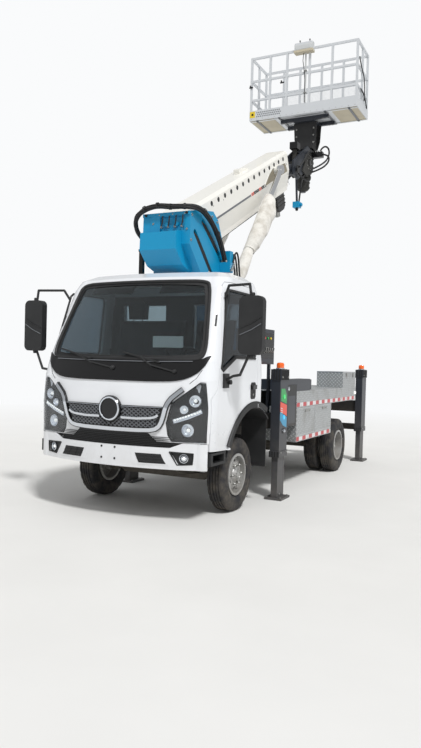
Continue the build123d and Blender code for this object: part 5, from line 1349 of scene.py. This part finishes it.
bm = bmesh.new()
for side in (1, -1):
    skin = side * 0.168
    boom_plate(bm, bar((0.55, 3.27), (0.222, 0.226)), skin, skin + side * 0.0015, 1)
    boom_plate(bm, bar((0.46, 1.72), (-0.012, 0.012)), skin, skin + side * 0.002, 2)
    for k in range(6):
        u = 1.74 + 0.095 * k
        boom_plate(bm, bar((u, u + 0.085), (-0.016, 0.022)), skin, skin + side * 0.002, 3 if k % 3 == 0 else 0)
        boom_plate(bm, bar((u + 0.020, u + 0.062), (-0.006, 0.012)), skin + side * 0.0015,
                   skin + side * 0.0026, 4)
    for k in range(14):
        spot = on_boom(skin, 0.515 + 0.200 * k, 0.1986)
        turned(bm, ((0, 0.031), (0.0012, 0.031), (0.0016, 0.026)), spot, (side, 0, 0), 20, 5)
    # plate on the floor of the pocket near the boom's end: painted shade that darkens the recess
    floor_x = side * 0.161
    boom_plate(bm, [(2.240, -0.009), (2.487, 0.106), (2.646, 0.155), (3.186, 0.124), (3.246, -0.009)],
               floor_x, floor_x + side * 0.0015, 6)
    # bright lip round the recess at the boom's end
    lip = [(2.230, -0.012), (2.480, 0.110), (2.640, 0.160), (3.190, 0.128)]
    for (u0, w0), (u1, w1) in zip(lip, lip[1:]):
        size = hypot(u1 - u0, w1 - w0)
        du, dw = -(w1 - w0) / size * 0.016, (u1 - u0) / size * 0.016
        boom_plate(bm, [(u0, w0), (u1, w1), (u1 + du, w1 + dw), (u0 + du, w0 + dw)], skin,
                   skin + side * 0.003, 1)
    for u, w in ((0.55, 0.16), (0.85, 0.16), (3.24, 0.10), (3.24, -0.05), (3.24, -0.20)):
        spot = on_boom(skin, u, w)
        turned(bm, ((0, 0.009), (0.002, 0.009), (0.003, 0.006)), spot, (side, 0, 0), 12, 4)
# hydraulic motor and valve block under the end of the boom
MOTOR = [(2.86, -0.300), (3.18, -0.300), (3.18, -0.500), (3.10, -0.545), (2.92, -0.545), (2.86, -0.480)]
boom_plate(bm, MOTOR, -0.085, 0.085, 0)
for w in (-0.345, -0.400, -0.455):
    boom_plate(bm, [(2.850, w), (3.190, w), (3.190, w - 0.014), (2.850, w - 0.014)], -0.092, 0.092, 7)
boom_plate(bm, [(2.95, -0.288), (3.10, -0.288), (3.10, -0.305), (2.95, -0.305)], -0.10, 0.10, 4)
for x in (-0.055, 0.0, 0.055):
    spot = on_boom(x, 3.180, -0.40)
    turned(bm, ((0, 0.020), (0.030, 0.020), (0.034, 0.014), (0.060, 0.014)), spot, BOOM_DIR, 12, 4)
turned(bm, ((0, 0.045), (0.080, 0.045), (0.090, 0.030)), on_boom(0.0, 3.0, -0.545),
       tuple(-c for c in BOOM_UP), 24, 4)
piece("boom_trim", bm, [GLOSS_BLACK, CREAM_ENAMEL, SATIN_GREY, RED_PLATE, STEEL, SOFT_BLACK, POCKET_PAINTED_SHADE,
                        CAST_IRON], "boom_base")
BOOM_HOSE = ((0.06, 3.02, -0.30), (0.11, 2.80, -0.315), (0.09, 2.2, -0.302), (0.085, 1.2, -0.302),
             (0.08, 0.55, -0.303))
for side, word in SIDES:
    hose("boom_side_hose_" + word, [on_boom(side * x, u, w) for x, u, w in BOOM_HOSE], 0.009, "boom_base")

# Canvas sleeves: gathered and tied cloth round each lift cylinder
RAM_FOOT = (0.891, 2.150)
RAM_EYE = (2.700, 4.400)
RAM_SIZE = hypot(RAM_EYE[0] - RAM_FOOT[0], RAM_EYE[1] - RAM_FOOT[1])
RAM_WAY = ((RAM_EYE[0] - RAM_FOOT[0]) / RAM_SIZE, (RAM_EYE[1] - RAM_FOOT[1]) / RAM_SIZE)
SLEEVE = (
    # distance along the cylinder from its foot, radius of the cloth
    (0.560, 0.074), (0.760, 0.083), (0.960, 0.080), (1.080, 0.076), (1.150, 0.072), (1.210, 0.086),
    (1.290, 0.099), (1.400, 0.109), (1.550, 0.117), (1.700, 0.121), (1.900, 0.126), (2.020, 0.116),
    (2.150, 0.098), (2.210, 0.082), (2.260, 0.064),
)
GATHERS = ((1.160, 0.11), (2.235, 0.10), (0.585, 0.05))
TIES = ((1.165, 0.0775), (0.600, 0.0735), (2.245, 0.0660))
BOOM_SIDE = 0.1765
SLEEVE_ROUND = 72
SLEEVE_ROWS = 200
LOOSE_RADIUS = 0.092
SAGGING_RADIUS = 0.095
RIGHT_SHIFT = 0.37


def wrinkle(s, turn):
    """How far a fold draws the cloth in at a place on the sleeve, from 0 to 1."""
    spiral = sin(3 * turn + 16 * s) * 0.5 + 0.5
    fine = sin(7 * turn - 31 * s + 1.3 * sin(9 * s)) * 0.5 + 0.5
    gather = sin(62 * s + 2.2 * sin(turn + 1.0)) * 0.5 + 0.5
    tied = sum(max(0.0, 1 - abs(s - at) / reach) for at, reach in GATHERS)
    loose = (0.45 * spiral + 0.25 * fine) * (0.45 + 0.4 * sin(2.3 * s + 0.6) ** 2)
    return min(1.0, loose + 0.55 * gather * min(tied, 1.0))


for side, word in SIDES:
    bm = bmesh.new()
    rings = []
    for row in range(SLEEVE_ROWS + 1):
        s = SLEEVE[0][0] + (SLEEVE[-1][0] - SLEEVE[0][0]) * row / SLEEVE_ROWS
        radius = between(SLEEVE, s)
        sag = 0.010 * sin(pi * (s - 0.56) / 1.70) * (radius > SAGGING_RADIUS)
        ring = []
        for k in range(SLEEVE_ROUND):
            turn = 2 * pi * k / SLEEVE_ROUND
            deep = 0.007 + 0.022 * max(0.0, cos(turn)) * (radius > LOOSE_RADIUS) + 0.004 * max(0.0, cos(turn))
            reach = radius - deep * wrinkle(s + (0.0 if side == 1 else RIGHT_SHIFT), turn)
            x = BOOM_SIDE + radius + reach * cos(turn)
            off = reach * sin(turn)
            y = RAM_FOOT[0] + s * RAM_WAY[0] - off * RAM_WAY[1]
            z = RAM_FOOT[1] + s * RAM_WAY[1] + off * RAM_WAY[0] - sag * 0.5
            ring.append(bm.verts.new(here(side * x, y, z)))
        rings.append(ring)
    join_rings(bm, rings, capped=False)
    made = piece("canvas_sleeve_" + word, bm, CANVAS, "lift_barrels",
                 replaced=("cylinder_sleeves",) if side == 1 else ())
    thick = made.modifiers.new("cloth thickness", "SOLIDIFY")
    thick.thickness = 0.0012
    thick.offset = -1
    bm = bmesh.new()
    for s, radius in TIES:
        centre = (side * (BOOM_SIDE + radius + 0.001), RAM_FOOT[0] + s * RAM_WAY[0],
                  RAM_FOOT[1] + s * RAM_WAY[1])
        ring_round(bm, ((-0.010, radius - 0.004), (-0.010, radius), (0.010, radius), (0.010, radius - 0.004)),
                   centre, (0, RAM_WAY[0], RAM_WAY[1]), 36)
    piece("sleeve_ties_" + word, bm, CANVAS, "lift_barrels")

# Seats: crowned pads with pulled-in sides and sewn channels, on moulded plinths
PAD_GRID = 36


def pad(name, centre, across, along, thick, size, channels, first=False):
    """Closed padded form. size is (width, length, thickness); channels are shares of the width."""
    width, length, depth = size
    centre, across, along, thick = (Vector(v) for v in (centre, across, along, thick))
    bm = bmesh.new()
    for face_side in (1, -1):
        skin = []
        for i in range(PAD_GRID + 1):
            row = []
            for j in range(PAD_GRID + 1):
                u = -cos(pi * i / PAD_GRID)
                v = -cos(pi * j / PAD_GRID)
                pinch_u = 1 - 0.035 * (1 - v * v)
                pinch_v = 1 - 0.030 * (1 - u * u)
                plump = ((1 - u ** 8) * (1 - v ** 8)) ** 0.35
                crown = 0.80 + 0.20 * (1 - u * u) * (1 - v * v)
                for at in channels:
                    crown -= 0.16 * max(0.0, 1 - abs(u - at) / 0.05) * (abs(v) < 0.82)
                for at in (-0.84, 0.84):
                    crown -= 0.10 * max(0.0, 1 - abs(v - at) / 0.05)
                out = face_side * depth / 2 * plump * crown
                spot = (centre + across * (u * width / 2 * pinch_u) + along * (v * length / 2 * pinch_v)
                        + thick * out)
                row.append(bm.verts.new(here(*spot)))
            skin.append(row)
        for low, high in zip(skin, skin[1:]):
            for j in range(PAD_GRID):
                bm.faces.new((low[j], high[j], high[j + 1], low[j + 1]))
    bmesh.ops.remove_doubles(bm, verts=bm.verts, dist=0.0004)
    made = piece(name, bm, SEAT_CLOTH, "truck", replaced=("seats",) if first else ())


BACK_WAY = Vector((0, 0.100, 0.560)).normalized()
BACK_OUT = Vector((0, -BACK_WAY.z, BACK_WAY.y))
for index, (name, x, width, channels) in enumerate((("driver", 0.50, 0.48, (-0.55, 0.55)),
                                                    ("bench", -0.33, 0.90, (-0.72, 0.0, 0.72)))):
    pad(name + "_cushion", (x, -0.095, 1.456), (1, 0, 0), (0, 1, 0), (0, 0, 1), (width, 0.530, 0.108),
        channels, first=index == 0)
    pad(name + "_back", (x, 0.163, 1.775), (1, 0, 0), BACK_WAY, BACK_OUT, (width, 0.550, 0.098), channels)
bm = bmesh.new()
for x, width in ((0.50, 0.48), (-0.33, 0.90)):
    block(bm, (x - width / 2 + 0.03, -0.33, 1.155), (x + width / 2 - 0.03, 0.15, 1.400))
    block(bm, (x - 0.05, 0.15, 1.39), (x + 0.05, 0.20, 1.56))
for x in (0.42, 0.58):
    tube(bm, [(x, 0.155, 1.52), (x, 0.165, 1.60)], 0.008, 8)
piece("seat_plinths", bm, BLACK_MOULDING, "truck", edge=0.004)

# Head: rotary actuator drum, valve block, hoses and the blue fitting on the hanging rod
bm = bmesh.new()
DRUM = (0, 4.330, 4.960)
turned(bm, ((-0.124, 0.130), (-0.118, 0.150), (-0.108, 0.155), (0.108, 0.155), (0.118, 0.150),
            (0.124, 0.130)), DRUM, (1, 0, 0), 48, 0)
for side in (1, -1):
    for k in range(10):
        angle = 2 * pi * k / 10
        spot = (side * 0.123, DRUM[1] + 0.112 * cos(angle), DRUM[2] + 0.112 * sin(angle))
        bolt(bm, spot, (side, 0, 0), 0.009, 0.010, 1)
    way = (side, 0, 0)
    turned(bm, ((0, 0.055), (0.012, 0.055), (0.018, 0.040)), (side * 0.123, *DRUM[1:]), way, 28, 2)
    turned(bm, ((0, 0.060), (0.010, 0.060), (0.014, 0.050)), (side * 0.130, 3.745, 4.700), way, 28, 2)
for z in (4.570, 4.650, 4.730, 4.800):
    ring_round(bm, ((-0.010, 0.104), (-0.008, 0.114), (0.008, 0.114), (0.010, 0.104)),
               (0, 4.410, z), (0, 0, 1), 36, 0)
for z, radius in ((4.940, 0.122), (5.020, 0.120), (5.100, 0.122), (5.180, 0.126)):
    ring_round(bm, ((-0.014, 0.110), (-0.012, radius), (0.012, radius), (0.014, 0.110)),
               (0, 4.560, z), (0, 0, 1), 36, 0)
block(bm, (-0.074, 3.900, 4.700), (0.074, 4.020, 4.880), 0)
block(bm, (-0.030, 3.930, 4.860), (0.030, 3.990, 5.090), 0)
block(bm, (-0.065, 3.880, 5.080), (0.065, 4.030, 5.190), 2)
turned(bm, ((0.0, 0.050), (0.020, 0.085), (0.045, 0.104), (0.300, 0.108), (0.335, 0.098), (0.360, 0.070)),
       (0, 4.410, 4.505), (0, 0, 1), 40, 0)
HEAD_CHEEK = ((4.02, 4.74), (4.24, 4.70), (4.46, 4.80), (4.50, 5.02), (4.40, 5.14), (4.18, 5.06))
for side in (1, -1):
    side_pressed(bm, side, HEAD_CHEEK, (0.105, 0.128))
block(bm, (0.100, 4.470, 5.080), (0.300, 4.560, 5.170), 2)
for k in range(4):
    turned(bm, ((0, 0.013), (0.024, 0.013), (0.028, 0.009)), (0.125 + 0.050 * k, 4.500, 5.170),
           (0, 0, 1), 6, 1)
block(bm, (-0.057, 4.070, 4.170), (0.057, 4.180, 4.266), 3)
turned(bm, ((0, 0.030), (0.030, 0.030), (0.036, 0.020)), (0.057, 4.125, 4.218), (1, 0, 0), 20, 3)
turned(bm, ((0, 0.024), (0.040, 0.024), (0.050, 0.012)), (0, 4.125, 4.172), (0, 0, -1), 16, 2)
piece("head_fittings", bm, [CAST_IRON, STEEL, GLOSS_BLACK, BLUE_ENAMEL], "levelling_head",
      edge=0.0015)
HEAD_HOSES = (
    ((0.150, 3.780, 4.740), (0.190, 3.900, 4.880), (0.190, 4.100, 5.080), (0.160, 4.330, 5.150),
     (0.140, 4.490, 5.172)),
    ((0.130, 3.800, 4.640), (0.180, 4.000, 4.560), (0.190, 4.200, 4.620), (0.150, 4.330, 4.740),
     (0.090, 4.400, 4.800)),
    ((-0.130, 3.780, 4.740), (-0.180, 3.950, 4.900), (-0.170, 4.200, 5.060), (-0.130, 4.400, 5.100)),
    ((0.300, 4.520, 5.130), (0.390, 4.560, 5.120), (0.400, 4.540, 5.000), (0.300, 4.480, 4.880),
     (0.140, 4.420, 4.820)),
    ((0.255, 4.500, 5.190), (0.300, 4.520, 5.270), (0.380, 4.560, 5.250), (0.400, 4.560, 5.120),
     (0.330, 4.500, 4.960), (0.120, 4.360, 4.840)),
    ((0.040, 4.110, 4.266), (0.075, 4.060, 4.420), (0.090, 4.080, 4.620), (0.115, 4.180, 4.760)),
    ((-0.040, 3.900, 5.010), (-0.060, 4.050, 5.090), (-0.060, 4.250, 5.130), (-0.060, 4.400, 5.155)),
)
for k, route in enumerate(HEAD_HOSES):
    hose("head_hose_%d" % k, route, 0.014, "levelling_head")

# Basket: mesh panels, dark discs for the holes of its kick plates, control box, latches and hoses
BASKET_X = 0.940
BASKET_FRONT = 4.210
BASKET_BACK = 4.910
MESH_LOW = 5.920
MESH_TOP = 6.090
MESH_STEP = 0.020
WIRE = 0.0013
MESH_ROWS = [MESH_LOW + 0.010 + 0.019 * k for k in range(9)]
bm = bmesh.new()
for y in (BASKET_FRONT + 0.012, BASKET_BACK - 0.012):
    for k in range(65):
        x = -0.350 + MESH_STEP * k
        block(bm, (x - WIRE, y - WIRE, MESH_LOW), (x + WIRE, y + WIRE, MESH_TOP))
    for z in MESH_ROWS:
        block(bm, (-0.355, y - 2 * WIRE, z - WIRE), (0.930, y, z + WIRE))
x = BASKET_X - 0.012
for k in range(33):
    y = BASKET_FRONT + 0.03 + MESH_STEP * k
    block(bm, (x - WIRE, y - WIRE, MESH_LOW), (x + WIRE, y + WIRE, MESH_TOP))
for z in MESH_ROWS:
    block(bm, (x - 2 * WIRE, BASKET_FRONT + 0.02, z - WIRE), (x, BASKET_BACK - 0.02, z + WIRE))
piece("basket_mesh", bm, PALE_ALLOY, "basket")

HOLE_PITCH = 0.034
HOLE_LOW = 5.812
HOLE = ((0, 0.0115), (0.0006, 0.0115))
bm = bmesh.new()
for y, way in ((BASKET_FRONT, -1), (BASKET_BACK, 1)):
    for k in range(13):
        for row in range(3):
            x = -0.800 + HOLE_PITCH * k + HOLE_PITCH / 2 * (row % 2)
            turned(bm, HOLE, (x, y, HOLE_LOW + HOLE_PITCH * row), (0, way, 0), 12, 4)
    for k in range(18):
        x = -0.905 + 0.1065 * k
        turned(bm, ((0, 0.006), (0.002, 0.005), (0.003, 0.0)), (x, y, 5.775), (0, way, 0), 10, 1)
for k in range(17):
    for row in range(3):
        y = 4.290 + HOLE_PITCH * k + HOLE_PITCH / 2 * (row % 2)
        turned(bm, HOLE, (-BASKET_X, y, HOLE_LOW + HOLE_PITCH * row), (-1, 0, 0), 12, 4)
block(bm, (-0.930, BASKET_FRONT - 0.0012, 5.800), (-0.835, BASKET_FRONT, 5.905), 2)
block(bm, (-0.900, BASKET_FRONT - 0.0018, 5.835), (-0.865, BASKET_FRONT - 0.001, 5.870), 3)
for x in (-0.940, -0.374):
    block(bm, (x - 0.012, BASKET_FRONT - 0.010, 6.310), (x + 0.055, BASKET_FRONT + 0.004, 6.332), 3)
    turned(bm, ((0, 0.012), (0.012, 0.012), (0.016, 0.008)), (x + 0.01, BASKET_FRONT - 0.006, 6.345),
           (0, -1, 0), 12, 3)
piece("basket_plate_details", bm, [CAST_IRON, STEEL, YELLOW_PLATE, GLOSS_BLACK, SATIN_GREY], "basket")

BOX_LEFT = 0.180
BOX_RIGHT = -0.120
bm = bmesh.new()
pressed(bm, [(4.136, 6.778), (4.136, 6.860), (4.160, 6.902), (4.240, 6.902), (4.246, 6.778)], "x",
        BOX_RIGHT - 0.006, BOX_LEFT + 0.006, 0)
block(bm, (BOX_RIGHT - 0.012, 4.130, 6.742), (BOX_LEFT + 0.012, 4.250, 6.780), 1)
block(bm, (BOX_RIGHT + 0.02, 4.132, 6.790), (BOX_LEFT - 0.02, 4.137, 6.850), 0)
for k, tone in ((0, 2), (1, 3), (2, 4), (3, 3)):
    turned(bm, ((0, 0.011), (0.010, 0.011), (0.014, 0.007)), (BOX_RIGHT + 0.05 + 0.066 * k, 4.185, 6.902),
           (0, 0, 1), 14, tone)
for x in (-0.055, 0.115):
    turned(bm, ((0, 0.014), (0.010, 0.010), (0.045, 0.006), (0.050, 0.011), (0.066, 0.011), (0.070, 0.006)),
           (x, 4.215, 6.902), (0, 0, 1), 14, 3)
tube(bm, [(0.056, 4.205, 6.742), (0.056, 4.205, 6.60), (0.056, 4.222, 6.50), (0.056, 4.222, 5.93)],
     0.014, 12, 0)
tube(bm, [(0.020, 4.195, 6.742), (0.010, 4.196, 6.62), (0.030, 4.196, 6.50), (0.050, 4.200, 6.30),
          (0.046, 4.202, 6.10), (0.050, 4.204, 5.93)], 0.006, 8, 3)
for z in (6.44, 6.08):
    block(bm, (0.034, 4.195, z), (0.078, 4.226, z + 0.020), 5)
piece("basket_controls", bm, [SATIN_ALLOY, BEIGE_MOULDING, RED_PLATE, GLOSS_BLACK, GREEN_PLATE, STEEL],
      "basket", edge=0.002)
BASKET_HOSES = (
    ((0.944, 4.270, 6.560), (0.956, 4.330, 6.430), (0.956, 4.450, 6.380), (0.956, 4.560, 6.300),
     (0.956, 4.600, 6.120), (0.948, 4.610, 5.960)),
    ((0.944, 4.400, 6.090), (0.954, 4.520, 6.060), (0.954, 4.680, 5.990), (0.946, 4.800, 5.900)),
    ((0.000, 4.470, 5.280), (0.110, 4.430, 5.400), (0.150, 4.420, 5.560), (0.120, 4.440, 5.690)),
    ((0.050, 4.460, 5.270), (0.160, 4.500, 5.380), (0.180, 4.520, 5.560), (0.150, 4.540, 5.690)),
)
for k, route in enumerate(BASKET_HOSES):
    hose("basket_hose_%d" % k, route, 0.0085, "basket")

# Underside of the basket: bolts, stiffening bars and pale panels, and the casing of its column
bm = bmesh.new()
for side in (-1, 1):
    for y in (4.385, 4.735):
        for k in range(2):
            bolt(bm, (side * (0.33 + 0.06 * k), y, 5.690), (0, 0, -1), 0.010, 0.012, 0)
for x in (-0.80, -0.40, 0.40, 0.80):
    block(bm, (x - 0.020, 4.225, 5.738), (x + 0.020, 4.895, 5.7505), 2)
for y in (4.260, 4.860):
    block(bm, (-0.930, y - 0.015, 5.738), (0.930, y + 0.015, 5.7505), 1)
for side in (1, -1):
    side_block(bm, side, (0.500, 0.925), (4.235, 4.885), (5.7455, 5.7495), 3)
piece("basket_underside", bm, [STEEL, ALUMINIUM, SATIN_GREY, BEIGE_MOULDING], "basket",
      edge=0.001)
CASING = [(-0.135, 5.230), (0.135, 5.230), (0.185, 5.400), (0.200, 5.675), (-0.200, 5.675), (-0.185, 5.400)]
bm = bmesh.new()
for y0, y1 in ((4.425, 4.440), (4.680, 4.695)):
    pressed(bm, CASING, "y", y0, y1)
for side in (1, -1):
    side_block(bm, side, (0.118, 0.132), (4.440, 4.680), (5.240, 5.675))
    for k in range(3):
        bolt(bm, (side * 0.150, 4.425, 5.330 + 0.12 * k), (0, -1, 0), 0.010, 0.010, 1)
piece("column_casing", bm, [SOFT_BLACK, STEEL], "basket", edge=0.002)
